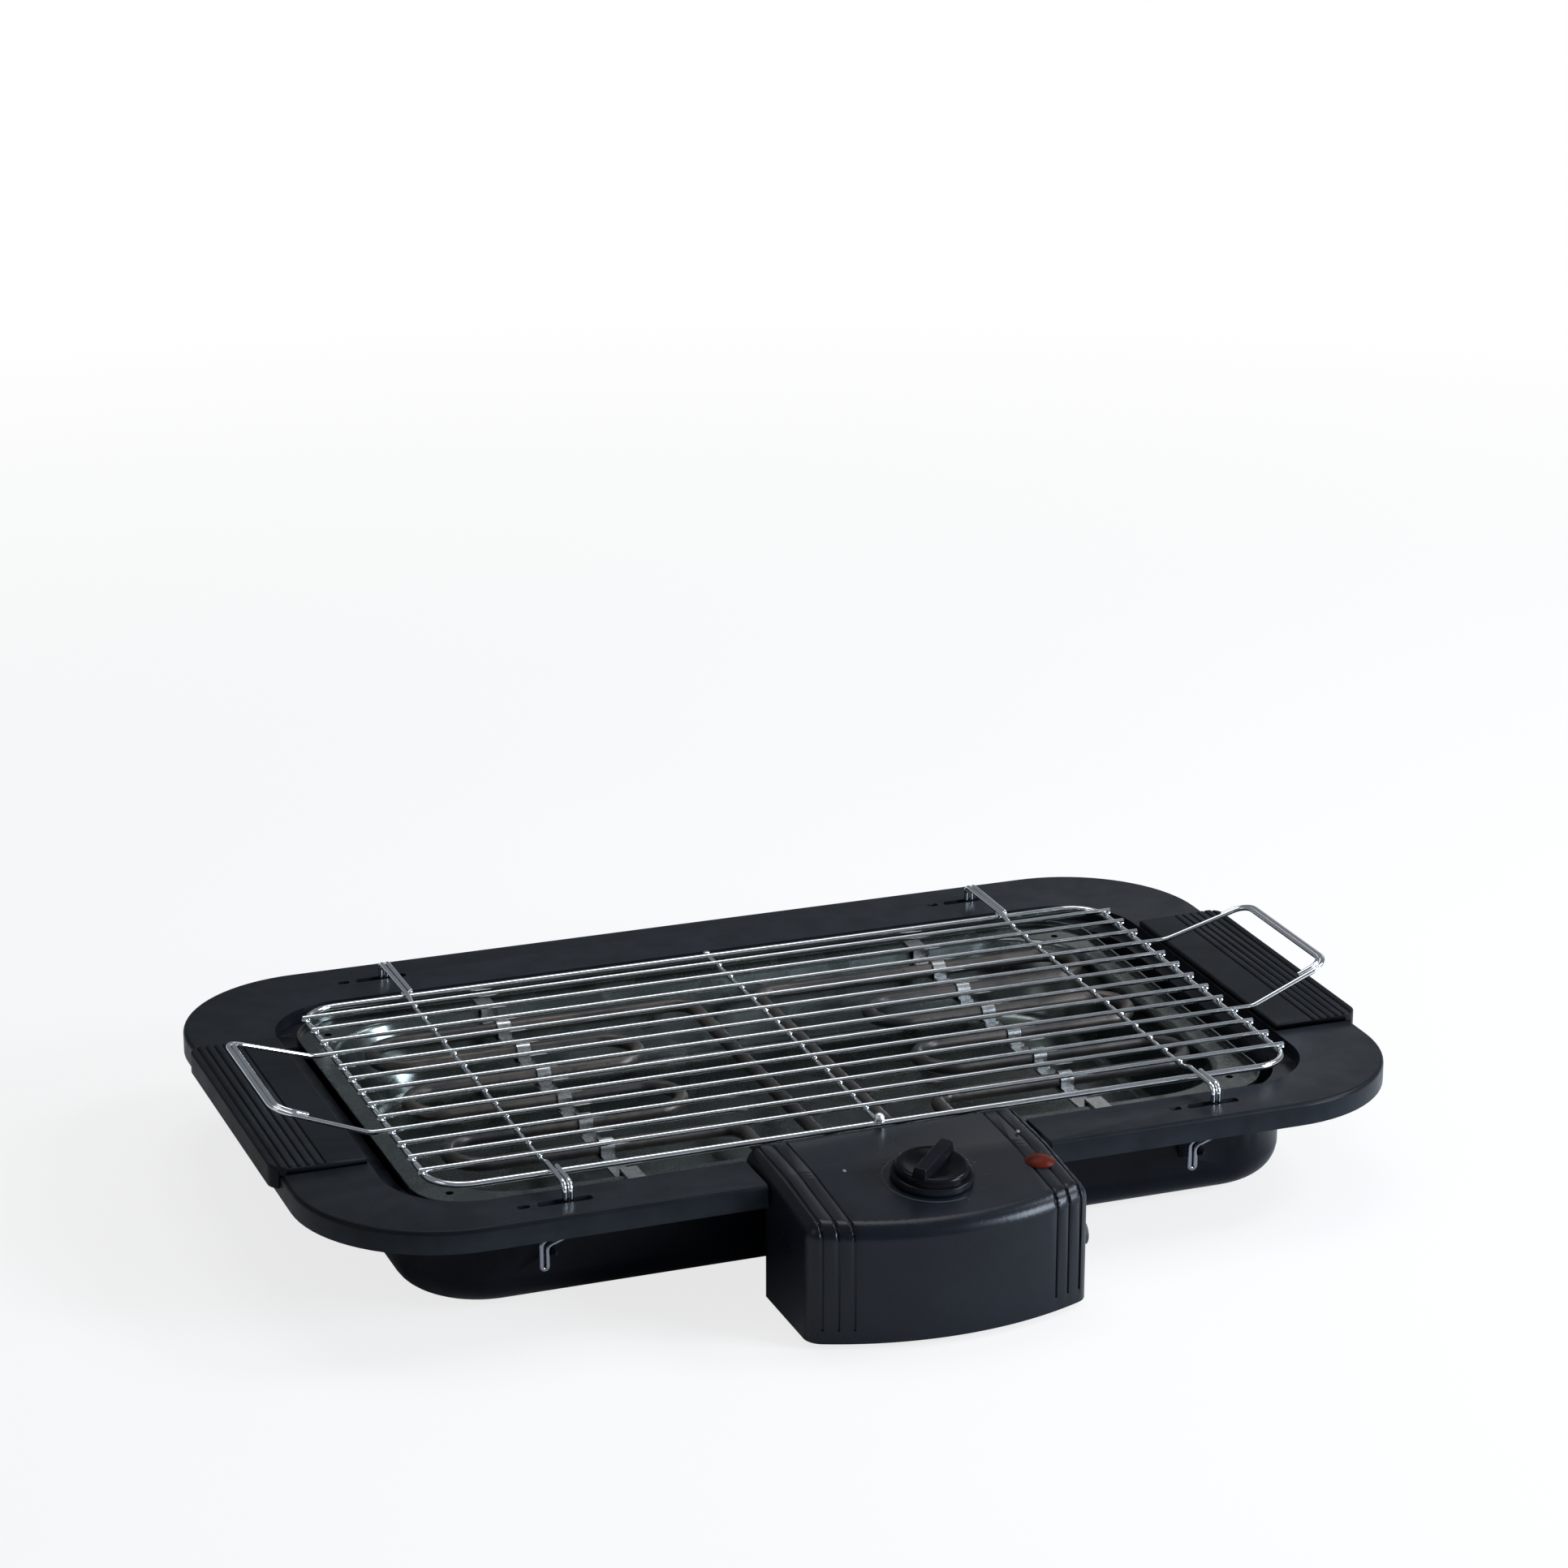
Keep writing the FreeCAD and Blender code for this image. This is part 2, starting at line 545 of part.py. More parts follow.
# ---- grips ------------------------------------------------------------------------
def make_grip(side):
    """Return one grip; side is -1 for the left end and 1 for the right end."""
    inner = OPEN_X + GRIP_EDGE_GAP
    outer = RIM_X + GRIP_OVERHANG
    lip_in = RIM_X + 0.2
    points = [(inner, RIM_TOP), (inner, RIM_TOP + GRIP_INNER_H), (outer, RIM_TOP + GRIP_OUTER_H),
              (outer, RIM_TOP - GRIP_LIP), (lip_in, RIM_TOP - GRIP_LIP), (lip_in, RIM_TOP)]
    corners = [Vector(side * x, -GRIP_FRONT, z) for x, z in points]
    face = Part.Face(Part.makePolygon(corners + [corners[0]]))
    grip = face.extrude(Vector(0, GRIP_FRONT + GRIP_BACK, 0))
    corners = [e for e in grip.Edges if abs(e.BoundBox.Center.x) > RIM_X + GRIP_OVERHANG - 0.1
               and e.BoundBox.YLength < 0.1]
    grip = grip.makeFillet(GRIP_CORNER_R, corners)
    upper = [e for e in grip.Edges if e.BoundBox.ZMin > RIM_TOP + 0.5]
    grip = grip.makeFillet(GRIP_EDGE_R, upper)
    rise = (GRIP_OUTER_H - GRIP_INNER_H) / (outer - inner)
    cutters = []
    for i in range(GROOVE_COUNT):
        x = outer - GROOVE_PITCH * (i + 1)
        z = RIM_TOP + GRIP_INNER_H + rise * (x - inner)
        x0 = min(side * (x - GROOVE_WIDTH / 2.0), side * (x + GROOVE_WIDTH / 2.0))
        cutters.append(box(x0, x0 + GROOVE_WIDTH, -GRIP_FRONT - 1.0, GRIP_BACK + 1.0,
                           z - GROOVE_DEPTH, z + 2.0))
    grip = grip.cut(cutters)
    peg_x = side * (OPEN_X + RIM_SIDE / 2.0)
    for y in grip_peg_places():
        peg = rod(PEG_D, RIM_WALL + 1.5, Vector(peg_x, y, RIM_TOP - RIM_WALL - 1.5))
        hole = rod(SCREW_D, RIM_WALL + 1.5 + GRIP_INNER_H * 0.5, Vector(peg_x, y, RIM_TOP - RIM_WALL - 1.5))
        grip = grip.fuse(peg).cut(hole)
    return grip.removeSplitter()


def make_grip_screws():
    """Return the screws that hold the pegs of both grips under the rim."""
    screws = []
    for x in (-(OPEN_X + RIM_SIDE / 2.0), OPEN_X + RIM_SIDE / 2.0):
        for y in grip_peg_places():
            base = Vector(x, y, RIM_TOP - RIM_WALL - 1.5)
            screws.append(screw(base, RIM_WALL + 1.5 + GRIP_INNER_H * 0.4, Vector(0, 0, 1)))
    return screws


# ---- drip tray --------------------------------------------------------------------
def tray_outline(inset, z, radius):
    """Return the tray's plan outline at height z, taken in from the flange's outer edge."""
    half = OPEN_X - TRAY_END_GAP - inset
    return rounded_outline(TRAY_SHIFT - half, TRAY_SHIFT + half, OPEN_FRONT + TRAY_GAP + inset,
                           OPEN_BACK - TRAY_GAP - inset, radius, z)


def make_drip_tray():
    """Return the pressed sheet tray: flange, turned-up lip and tapered basin."""
    low = LEDGE_TOP - TRAY_DEPTH
    mouth, foot, r, t = TRAY_FLANGE, TRAY_FLANGE + TRAY_TAPER, TRAY_MOUTH_R, TRAY_SHEET
    outer = Part.makeLoft([tray_outline(mouth, LEDGE_TOP, r), tray_outline(foot, low, r)], True, True)
    inner = Part.makeLoft([tray_outline(mouth + t, TRAY_TOP, r - t),
                           tray_outline(foot + t, low + t, r - t)], True, True)
    flange_face = Part.Face(tray_outline(0.0, LEDGE_TOP, TRAY_CORNER_R))
    flange = flange_face.extrude(Vector(0, 0, t))
    lip_outer = flange_face.extrude(Vector(0, 0, t + TRAY_LIP))
    lip_face = Part.Face(tray_outline(t, LEDGE_TOP, TRAY_CORNER_R - t))
    lip = lip_outer.cut(lip_face.extrude(Vector(0, 0, t + TRAY_LIP)))
    lip = lip.cut(box(UNIT_LEFT, UNIT_RIGHT, OPEN_FRONT, 0.0, TRAY_TOP, RIM_TOP))
    tray = outer.fuse([flange, lip]).cut(inner)
    hole_x = OPEN_X - TRAY_END_GAP - TRAY_HOLE_INSET_X
    holes = []
    for x in (TRAY_SHIFT - hole_x, TRAY_SHIFT + hole_x):
        for y in (OPEN_FRONT + TRAY_GAP + TRAY_HOLE_INSET_Y, OPEN_BACK - TRAY_GAP - TRAY_HOLE_INSET_Y):
            holes.append(rod(TRAY_HOLE_D, 4.0 * t, Vector(x, y, LEDGE_TOP - t)))
    return tray.cut(holes).removeSplitter()


# ---- heating element --------------------------------------------------------------
def run_places():
    """Return the Y places of the element's runs, front to back."""
    middle = (MOUTH_FRONT + MOUTH_BACK) / 2.0 + RUN_SHIFT
    return [middle + RUN_SPACING * (i - (RUN_COUNT - 1) / 2.0) for i in range(RUN_COUNT)]


def lead_points(x):
    """Return the way of one cold end from the unit over the flange and down into the mouth."""
    dip = MOUTH_FRONT + TRAY_SHEET
    return [Vector(x, UNIT_BACK - TUBE_END, INLET_Z), Vector(x, dip, INLET_Z),
            Vector(x, dip + LEAD_DIP, ELEMENT_Z)]


def make_element_tube(side):
    """Return one bent tubular heating element; side is -1 for the left one and 1 for the right one.

    It runs to the back between the two, out along the back run, to and fro towards the front,
    and out of the front run to the unit again.
    """
    end_x = ELEMENT_X + side * (GRID_LENGTH / 2.0 - ELEMENT_INSET)
    inner_x = ELEMENT_X + side * INNER_BEND_X
    leads = [ELEMENT_X + side * x for x in LEAD_X]
    rows = run_places()[::-1]
    bend = RUN_SPACING / 2.0
    points = lead_points(leads[0]) + [Vector(leads[0], rows[0], ELEMENT_Z)]
    radii = [0.0] + [LEAD_BEND_R] * 3
    for i in range(RUN_COUNT - 1):
        turn_x = end_x if i % 2 == 0 else inner_x
        points += [Vector(turn_x, rows[i], ELEMENT_Z), Vector(turn_x, rows[i + 1], ELEMENT_Z)]
        radii += [bend, bend]
    points += [Vector(leads[1], rows[-1], ELEMENT_Z)] + lead_points(leads[1])[::-1]
    radii += [LEAD_BEND_R] * 3 + [0.0]
    return bent_rod(points, radii, TUBE_D)


def lead_places():
    """Return the X places of the four cold ends."""
    return [ELEMENT_X + side * x for side in (-1, 1) for x in LEAD_X]


def make_element_pins():
    """Return the terminal pins in the cold ends of the element."""
    pins = []
    for x in lead_places():
        end = UNIT_BACK - TUBE_END
        pin = rod(PIN_D, PIN_LENGTH, Vector(x, end, INLET_Z), Vector(0, -1, 0))
        tab = box(x - TAB_SHEET / 2.0, x + TAB_SHEET / 2.0, end - PIN_LENGTH - TAB_LENGTH,
                  end - PIN_LENGTH + 0.5, INLET_Z - TAB_WIDTH / 2.0, INLET_Z + TAB_WIDTH / 2.0)
        pins.append(pin.fuse(tab).removeSplitter())
    return pins


def make_element_bracket(side):
    """Return the strip under the element that rests on the tray flange at both ends."""
    under = ELEMENT_Z - TUBE_D / 2.0
    top = TRAY_TOP + BRACKET_SHEET
    s = BRACKET_SHEET
    foot = BRACKET_FOOT
    lean = TRAY_TAPER / TRAY_DEPTH
    inset = (LEDGE_TOP - under + s) * lean + TRAY_SHEET * (1.0 + lean) + BRACKET_WALL_GAP
    front = MOUTH_FRONT + inset
    back = MOUTH_BACK - inset
    outline = [(MOUTH_FRONT - foot, top), (front + s, top), (front + s, under), (back - s, under),
               (back - s, top), (MOUTH_BACK + foot, top), (MOUTH_BACK + foot, top - s), (back, top - s),
               (back, under - s), (front, under - s), (front, top - s), (MOUTH_FRONT - foot, top - s)]
    x0 = side * BRACKET_X - BRACKET_WIDTH / 2.0
    points = [Vector(x0, y, z) for y, z in outline]
    strip = Part.Face(Part.makePolygon(points + [points[0]])).extrude(Vector(BRACKET_WIDTH, 0, 0))
    return strip


def strap(centres, width):
    """Return a sheet strap over parallel tubes; the tubes run along Y through centres on X."""
    inner = TUBE_D + 2.0 * STRAP_CLEAR
    outer = inner + 2.0 * STRAP_SHEET
    low = -TUBE_D / 2.0
    along = Vector(0, 1, 0)
    x0 = centres[0] - outer / 2.0 - STRAP_FOOT
    x1 = centres[-1] + outer / 2.0 + STRAP_FOOT
    strip = box(x0, x1, 0.0, width, low, low + STRAP_SHEET)
    holes = []
    for x in centres:
        strip = strip.fuse([rod(outer, width, Vector(x, 0, 0), along),
                            box(x - outer / 2.0, x + outer / 2.0, 0.0, width, low, 0.0)])
        holes.append(rod(inner, width + 2.0, Vector(x, -1.0, 0), along))
        holes.append(box(x - inner / 2.0, x + inner / 2.0, -1.0, width + 1.0, low - outer, 0.0))
    return strip.cut(holes).common(box(x0, x1, 0.0, width, low, outer)).removeSplitter()


def make_element_straps():
    """Return the straps that hold the runs down on both brackets."""
    width = BRACKET_WIDTH * STRAP_SHARE
    straps = []
    for side in (-1, 1):
        for y in run_places():
            piece = strap([0.0], width)
            piece.rotate(Vector(), Vector(0, 0, 1), -90.0)
            piece.translate(Vector(side * BRACKET_X - width / 2.0, y, ELEMENT_Z))
            straps.append(piece)
    return straps


# ---- control unit -----------------------------------------------------------------
def roof_z(y):
    """Return the height of the unit's top at y, without the rounding of its break."""
    slope = SLOPE if y < BREAK_Y else math.radians(TONGUE_SLOPE)
    return BREAK_Z + (y - BREAK_Y) * math.tan(slope)


def under_roof(drop):
    """Return a large block below the two slopes of the top, lowered by drop."""
    half = UNIT_WIDTH
    low = -ROOF_MARGIN
    ends = (TONGUE_BACK + ROOF_MARGIN, UNIT_NOSE - ROOF_MARGIN)
    points = [Vector(UNIT_X - half, ends[1], low), Vector(UNIT_X - half, ends[0], low),
              Vector(UNIT_X - half, ends[0], roof_z(ends[0]) - drop),
              Vector(UNIT_X - half, BREAK_Y, BREAK_Z - drop),
              Vector(UNIT_X - half, ends[1], roof_z(ends[1]) - drop)]
    outline = bent_path(points, [0.01, 0.01, 0.01, SLOPE_BEND_R, 0.01], True)
    return Part.Face(outline).extrude(Vector(2.0 * half, 0, 0))


def unit_main(inset, z0, z1):
    """Return the bow-fronted main block of the unit, taken in by inset."""
    x0 = UNIT_X - UNIT_WIDTH / 2.0 + inset
    x1 = UNIT_X + UNIT_WIDTH / 2.0 - inset
    back = UNIT_BACK - inset
    front = UNIT_FRONT + inset
    nose = UNIT_NOSE + inset
    edges = [Part.LineSegment(Vector(x1, back, z0), Vector(x0, back, z0)).toShape(),
             Part.LineSegment(Vector(x0, back, z0), Vector(x0, front, z0)).toShape(),
             Part.Arc(Vector(x0, front, z0), Vector(UNIT_X, nose, z0), Vector(x1, front, z0)).toShape(),
             Part.LineSegment(Vector(x1, front, z0), Vector(x1, back, z0)).toShape()]
    block = Part.Face(Part.Wire(edges)).extrude(Vector(0, 0, z1 - z0))
    corners = [e for e in block.Edges if e.BoundBox.ZLength > z1 - z0 - 1e-3
               and e.BoundBox.YMax < UNIT_BACK - inset - 1.0]
    return block.makeFillet(UNIT_CORNER_R - inset, corners)


def unit_block(inset, drop, low, tongue_low):
    """Return the unit's whole block with its top edges rounded, taken in by inset and lowered by drop."""
    high = RIM_TOP + ROOF_MARGIN
    block = unit_main(inset, low, high)
    block = block.fuse(box(UNIT_LEFT + inset, UNIT_RIGHT - inset, UNIT_BACK - inset - 1.0,
                           TONGUE_BACK - inset, tongue_low, high))
    block = block.removeSplitter().common(under_roof(drop / math.cos(SLOPE)))
    edges = [e for e in block.Edges if e.BoundBox.ZMin > roof_z(UNIT_NOSE) - drop - 0.5
             and e.BoundBox.YMax < TONGUE_BACK - inset - 1.0]
    return block.makeFillet(UNIT_TOP_R - inset, edges)


def slope_axis():
    """Return the direction square to the sloping top."""
    return Vector(0, -math.sin(SLOPE), math.cos(SLOPE))


def roof_point(x, behind):
    """Return the point of the sloping top at x, a distance in front of the back wall."""
    y = UNIT_BACK - behind
    return Vector(x, y, roof_z(y))


def lifted(point, height):
    """Return a point moved along the direction square to the sloping top."""
    return point + slope_axis() * height


def post_places():
    """Return the plan places of the posts that take the cover screws."""
    half = UNIT_WIDTH / 2.0 - POST_INSET
    back = UNIT_BACK - POST_INSET
    front = UNIT_FRONT + POST_INSET
    return [(UNIT_X - half, back), (UNIT_X + half, back), (UNIT_X - half, front), (UNIT_X + half, front)]


def unit_groove_cutters():
    """Return the cutters for the grooves over the top and down the front."""
    cutters = []
    half = UNIT_WIDTH / 2.0 - UNIT_GROOVE_EDGE
    keep = unit_block(UNIT_GROOVE_DEPTH, UNIT_GROOVE_DEPTH, UNIT_GROUND_CLEAR + 6.0, 0.0)
    for side in (-1, 1):
        for i in range(UNIT_GROOVES):
            x = UNIT_X + side * (half - i * UNIT_GROOVE_PITCH)
            blade = box(x - UNIT_GROOVE_WIDTH / 2.0, x + UNIT_GROOVE_WIDTH / 2.0, UNIT_NOSE - 5.0,
                        TONGUE_BACK + 5.0, UNIT_GROUND_CLEAR + 6.0, RIM_TOP + ROOF_MARGIN)
            cutters.append(blade.cut(keep))
    return cutters


def make_unit_housing():
    """Return the hollow housing of the control unit with its tongue over the rim."""
    solid = unit_block(0.0, 0.0, UNIT_GROUND_CLEAR, TONGUE_BOTTOM)
    hollow = unit_block(UNIT_WALL, UNIT_ROOF, UNIT_GROUND_CLEAR - 1.0, TONGUE_BOTTOM - 1.0)
    housing = solid.cut(hollow)
    for x, y in post_places():
        post = rod(POST_D, RIM_TOP + ROOF_MARGIN, Vector(x, y, UNIT_GROUND_CLEAR + COVER_SHEET))
        housing = housing.fuse(post.common(under_roof(UNIT_ROOF / 2.0)))
    cutters = unit_groove_cutters()
    for x, y in post_places():
        cutters.append(rod(SCREW_D, COVER_SHEET + COVER_SCREW_LENGTH, Vector(x, y, UNIT_GROUND_CLEAR)))
    for x in lead_places():
        cutters.append(rod(TUBE_D + 2.0 * TUBE_HOLE_CLEAR, UNIT_WALL + 2.0,
                           Vector(x, TONGUE_BACK + 1.0, INLET_Z), Vector(0, -1, 0)))
    knob_top = roof_point(KNOB_X, KNOB_BACK)
    cutters.append(rod(SHAFT_HOLE_D, 12.0, lifted(knob_top, -6.0), slope_axis()))
    pilot_top = roof_point(PILOT_X, PILOT_BACK)
    cutters.append(rod(PILOT_STEM_D + 2.0 * PILOT_FIT, 12.0, lifted(pilot_top, -6.0), slope_axis()))
    gland_y = (UNIT_BACK + UNIT_FRONT) / 2.0
    cutters.append(rod(GLAND_D, 10.0, Vector(UNIT_RIGHT - 5.0, gland_y, GLAND_Z), Vector(1, 0, 0)))
    return housing.cut(cutters).removeSplitter()


def make_unit_cover():
    """Return the plate that closes the bottom of the housing."""
    plate = unit_main(UNIT_WALL + PLATE_CLEAR, UNIT_GROUND_CLEAR, UNIT_GROUND_CLEAR + COVER_SHEET)
    cutters = []
    for x, y in post_places():
        cutters.append(rod(SCREW_D + 0.4, 10.0, Vector(x, y, 0.0)))
        cutters.append(rod(SCREW_HEAD_D + 0.4, SCREW_HEAD_H, Vector(x, y, UNIT_GROUND_CLEAR)))
    return plate.cut(cutters)


def make_cover_screws():
    """Return the four screws of the bottom cover."""
    base = UNIT_GROUND_CLEAR + SCREW_HEAD_H
    return [screw(Vector(x, y, base), COVER_SCREW_LENGTH, Vector(0, 0, 1)) for x, y in post_places()]


def make_mount_plate():
    """Return the steel plate that closes the tongue under the element's cold ends."""
    half = UNIT_WIDTH / 2.0 - UNIT_WALL - PLATE_CLEAR
    plate = box(UNIT_X - half, UNIT_X + half, UNIT_BACK + PLATE_CLEAR,
                TONGUE_BACK - UNIT_WALL - PLATE_CLEAR, TONGUE_BOTTOM, TONGUE_BOTTOM + PLATE_SHEET)
    switch = switch_point()
    return plate.cut(rod(PLUNGER_D + 2.0 * PLUNGER_FIT, 10.0,
                         Vector(switch.x, switch.y, TONGUE_BOTTOM - 5.0)))


def make_element_saddles():
    """Return the straps that clamp the cold ends to the mounting plate."""
    width = (TONGUE_BACK - UNIT_BACK) * 0.3
    outer_left, inner_left, inner_right, outer_right = sorted(lead_places())
    pieces = []
    for centres in ([outer_left], [inner_left, inner_right], [outer_right]):
        piece = strap(centres, width)
        piece.translate(Vector(0, (UNIT_BACK + TONGUE_BACK - width) / 2.0, INLET_Z))
        pieces.append(piece)
    return pieces


def make_cord_gland():
    """Return the round gland in the right side of the housing."""
    y = (UNIT_BACK + UNIT_FRONT) / 2.0
    along = Vector(1, 0, 0)
    inside = UNIT_RIGHT - UNIT_WALL - GLAND_FLANGE
    barrel = rod(GLAND_D, UNIT_WALL, Vector(UNIT_RIGHT - UNIT_WALL, y, GLAND_Z), along)
    inner = rod(GLAND_D + 2.0 * GLAND_FLANGE, GLAND_FLANGE, Vector(inside, y, GLAND_Z), along)
    outer = rod(GLAND_D + 2.0 * GLAND_FLANGE, GLAND_FLANGE, Vector(UNIT_RIGHT, y, GLAND_Z), along)
    nose = rod(GLAND_BORE + 2.0 * GLAND_NOSE_WALL, GLAND_NOSE,
               Vector(UNIT_RIGHT + GLAND_FLANGE, y, GLAND_Z), along)
    bore = rod(GLAND_BORE, UNIT_WALL + 2.0 * GLAND_FLANGE + GLAND_NOSE + 2.0,
               Vector(inside - 1.0, y, GLAND_Z), along)
    return barrel.fuse([inner, outer, nose]).cut(bore).removeSplitter()


def make_terminal_block():
    """Return the terminal block that stands on the bottom cover."""
    z0 = UNIT_GROUND_CLEAR + COVER_SHEET
    x0 = UNIT_X + BLOCK_SHIFT
    y0 = UNIT_BACK - BLOCK_BACK
    block = box(x0, x0 + BLOCK_LENGTH, y0, y0 + BLOCK_WIDTH, z0, z0 + BLOCK_HEIGHT)
    cutters = []
    for i in range(BLOCK_POLES):
        x = x0 + BLOCK_LENGTH * (i + 0.5) / BLOCK_POLES
        cutters.append(rod(BLOCK_WIRE_D, BLOCK_WIDTH + 2.0, Vector(x, y0 - 1.0, z0 + BLOCK_HEIGHT / 3.0),
                           Vector(0, 1, 0)))
        cutters.append(rod(BLOCK_SCREW_D, BLOCK_HEIGHT, Vector(x, y0 + BLOCK_WIDTH / 2.0,
                                                               z0 + BLOCK_HEIGHT / 2.0)))
    return block.cut(cutters)


# ---- knob, thermostat, lamp and switch --------------------------------------------
def make_knob():
    """Return the knob: a skirt, a round grip and a pointer ridge across it."""
    skirt = Part.makeCylinder(KNOB_D / 2.0, KNOB_SKIRT)
    skirt = skirt.makeFillet(1.0, [e for e in skirt.Edges if e.BoundBox.ZMin > KNOB_SKIRT - 0.1])
    cone = Part.makeCone(KNOB_GRIP_D / 2.0, KNOB_GRIP_D / 2.0 - 1.5, KNOB_SHOULDER, Vector(0, 0, KNOB_SKIRT))
    cone = cone.makeFillet(KNOB_DOME_R, [e for e in cone.Edges if e.BoundBox.ZMin > KNOB_SKIRT + 0.1])
    ridge = box(-KNOB_D / 2.0, KNOB_D / 2.0, -KNOB_RIDGE / 2.0, KNOB_RIDGE / 2.0,
                KNOB_SKIRT / 2.0, KNOB_HEIGHT)
    ridge = ridge.common(Part.makeCylinder(KNOB_D / 2.0 - 1.5, KNOB_HEIGHT))
    ridge = ridge.makeFillet(1.2, [e for e in ridge.Edges if e.BoundBox.ZMin > KNOB_HEIGHT - 0.1])
    knob = skirt.fuse([cone, ridge])
    hollow = Part.makeCylinder(KNOB_D / 2.0 - KNOB_WALL, KNOB_SKIRT / 2.0)
    hollow = hollow.cut(Part.makeCylinder(SHAFT_D, KNOB_SKIRT))
    bore = Part.makeCylinder(SHAFT_D / 2.0, KNOB_HEIGHT - KNOB_FLOOR)
    knob = knob.cut([hollow, bore]).removeSplitter()
    return place_on_roof(knob, KNOB_TURN, lifted(roof_point(KNOB_X, KNOB_BACK), KNOB_LIFT))


def place_on_roof(shape, turn, point):
    """Turn a shape about +Z, tip it square to the roof and move it to point."""
    placed = shape.copy()
    placed.rotate(Vector(), Vector(0, 0, 1), turn)
    placed.rotate(Vector(), Vector(1, 0, 0), UNIT_SLOPE)
    placed.translate(point)
    return placed


def make_thermostat_shaft():
    """Return the shaft from the thermostat up into the knob."""
    above = KNOB_LIFT + KNOB_HEIGHT - KNOB_FLOOR
    top = lifted(roof_point(KNOB_X, KNOB_BACK), above)
    return rod(SHAFT_D, above + UNIT_ROOF + THERMO_GAP + SHAFT_RUN, top, slope_axis() * -1.0)


def make_thermostat():
    """Return the thermostat's case with its collar and two tabs."""
    half = THERMO_SIZE / 2.0
    deep = half * 0.85
    case = box(-half, half, -deep, deep, -THERMO_HEIGHT, 0.0)
    collar = Part.makeCylinder(SHAFT_HOLE_D / 2.0 + 1.5, THERMO_GAP)
    middle = -THERMO_HEIGHT * 0.4
    tabs = [box(x - TAB_WIDTH / 2.0, x + TAB_WIDTH / 2.0, deep, deep + TAB_LENGTH, middle, middle + TAB_SHEET)
            for x in (-THERMO_TABS / 2.0, THERMO_TABS / 2.0)]
    bore = Part.makeCylinder(SHAFT_D / 2.0 + SHAFT_FIT, THERMO_GAP + SHAFT_RUN + 1.0,
                             Vector(0, 0, -SHAFT_RUN - 1.0))
    case = case.fuse([collar] + tabs).cut(bore).removeSplitter()
    top = lifted(roof_point(KNOB_X, KNOB_BACK), -UNIT_ROOF - THERMO_GAP)
    return place_on_roof(case, 0.0, top)


def make_pilot_lens():
    """Return the domed lens of the pilot lamp with its stem through the roof."""
    sphere = PILOT_D * 0.8
    dome = Part.makeSphere(sphere, Vector(0, 0, PILOT_DOME - sphere))
    dome = dome.common(Part.makeCylinder(PILOT_D / 2.0, PILOT_D))
    stem = Part.makeCylinder(PILOT_STEM_D / 2.0, PILOT_STEM, Vector(0, 0, -PILOT_STEM))
    well = Part.makeCylinder(PILOT_STEM_D / 2.0 - PILOT_WALL, PILOT_STEM - 1.0, Vector(0, 0, -PILOT_STEM))
    lens = dome.fuse(stem).cut(well)
    return place_on_roof(lens.removeSplitter(), 0.0, roof_point(PILOT_X, PILOT_BACK))


def make_pilot_lamp():
    """Return the neon lamp that sits up inside the lens."""
    bottom = -PILOT_STEM - LAMP_BASE
    base = Part.makeCylinder(PILOT_STEM_D / 2.0, LAMP_BASE, Vector(0, 0, bottom))
    glass = Part.makeCylinder(PILOT_STEM_D / 2.0 - PILOT_WALL - 0.5, PILOT_STEM - 2.0,
                              Vector(0, 0, -PILOT_STEM))
    t = TAB_SHEET / 2.0
    legs = [box(x - t, x + t, -1.5, 1.5, bottom - 6.0, bottom) for x in (-2.5, 2.5)]
    return place_on_roof(base.fuse([glass] + legs).removeSplitter(), 0.0, roof_point(PILOT_X, PILOT_BACK))


def switch_point():
    """Return the plan middle of the safety switch's plunger."""
    return Vector(SWITCH_X, (UNIT_BACK + NOTCH_CLEAR + TONGUE_BACK) / 2.0, 0.0)


def make_safety_switch():
    """Return the case of the safety switch on the mounting plate."""
    p = switch_point()
    z0 = TONGUE_BOTTOM + PLATE_SHEET
    case = box(p.x - SWITCH_LENGTH / 2.0, p.x + SWITCH_LENGTH / 2.0, p.y - SWITCH_WIDTH / 2.0,
               p.y + SWITCH_WIDTH / 2.0, z0, z0 + SWITCH_HEIGHT)
    well = rod(PLUNGER_D + 2.0 * PLUNGER_FIT, PLUNGER_IN + PLUNGER_TRAVEL, Vector(p.x, p.y, z0))
    return case.cut(well)


def make_switch_plunger():
    """Return the plunger that the ledge holds in when the unit is seated."""
    p = switch_point()
    bottom = LEDGE_TOP + PLUNGER_GAP
    top = TONGUE_BOTTOM + PLATE_SHEET + PLUNGER_IN
    pin = rod(PLUNGER_D, top - bottom, Vector(p.x, p.y, bottom))
    return pin.makeFillet(0.5, [e for e in pin.Edges if e.BoundBox.ZMax < bottom + 0.1])


# ---- cooking grid -----------------------------------------------------------------
def make_grid_frame():
    """Return the round-cornered frame wire of the grid."""
    x = FRAME_END
    y = FRAME_RUN
    points = [Vector(-x, -y, FRAME_Z), Vector(x, -y, FRAME_Z), Vector(x, y, FRAME_Z), Vector(-x, y, FRAME_Z)]
    return bent_rod(points, [FRAME_CORNER_R] * 4, FRAME_WIRE_D, True)


def make_long_wires():
    """Return the straight long wires, without the two rows that form the handles."""
    wires = []
    middle = (LONG_WIRE_COUNT - 1) // 2
    for i in range(LONG_WIRE_COUNT):
        if abs(i - middle) == HANDLE_ROW:
            continue
        y = (i - (LONG_WIRE_COUNT - 1) / 2.0) * WIRE_PITCH
        wires.append(rod(LONG_WIRE_D, GRID_LENGTH, Vector(-GRID_LENGTH / 2.0, y, GRID_Z), Vector(1, 0, 0)))
    return wires


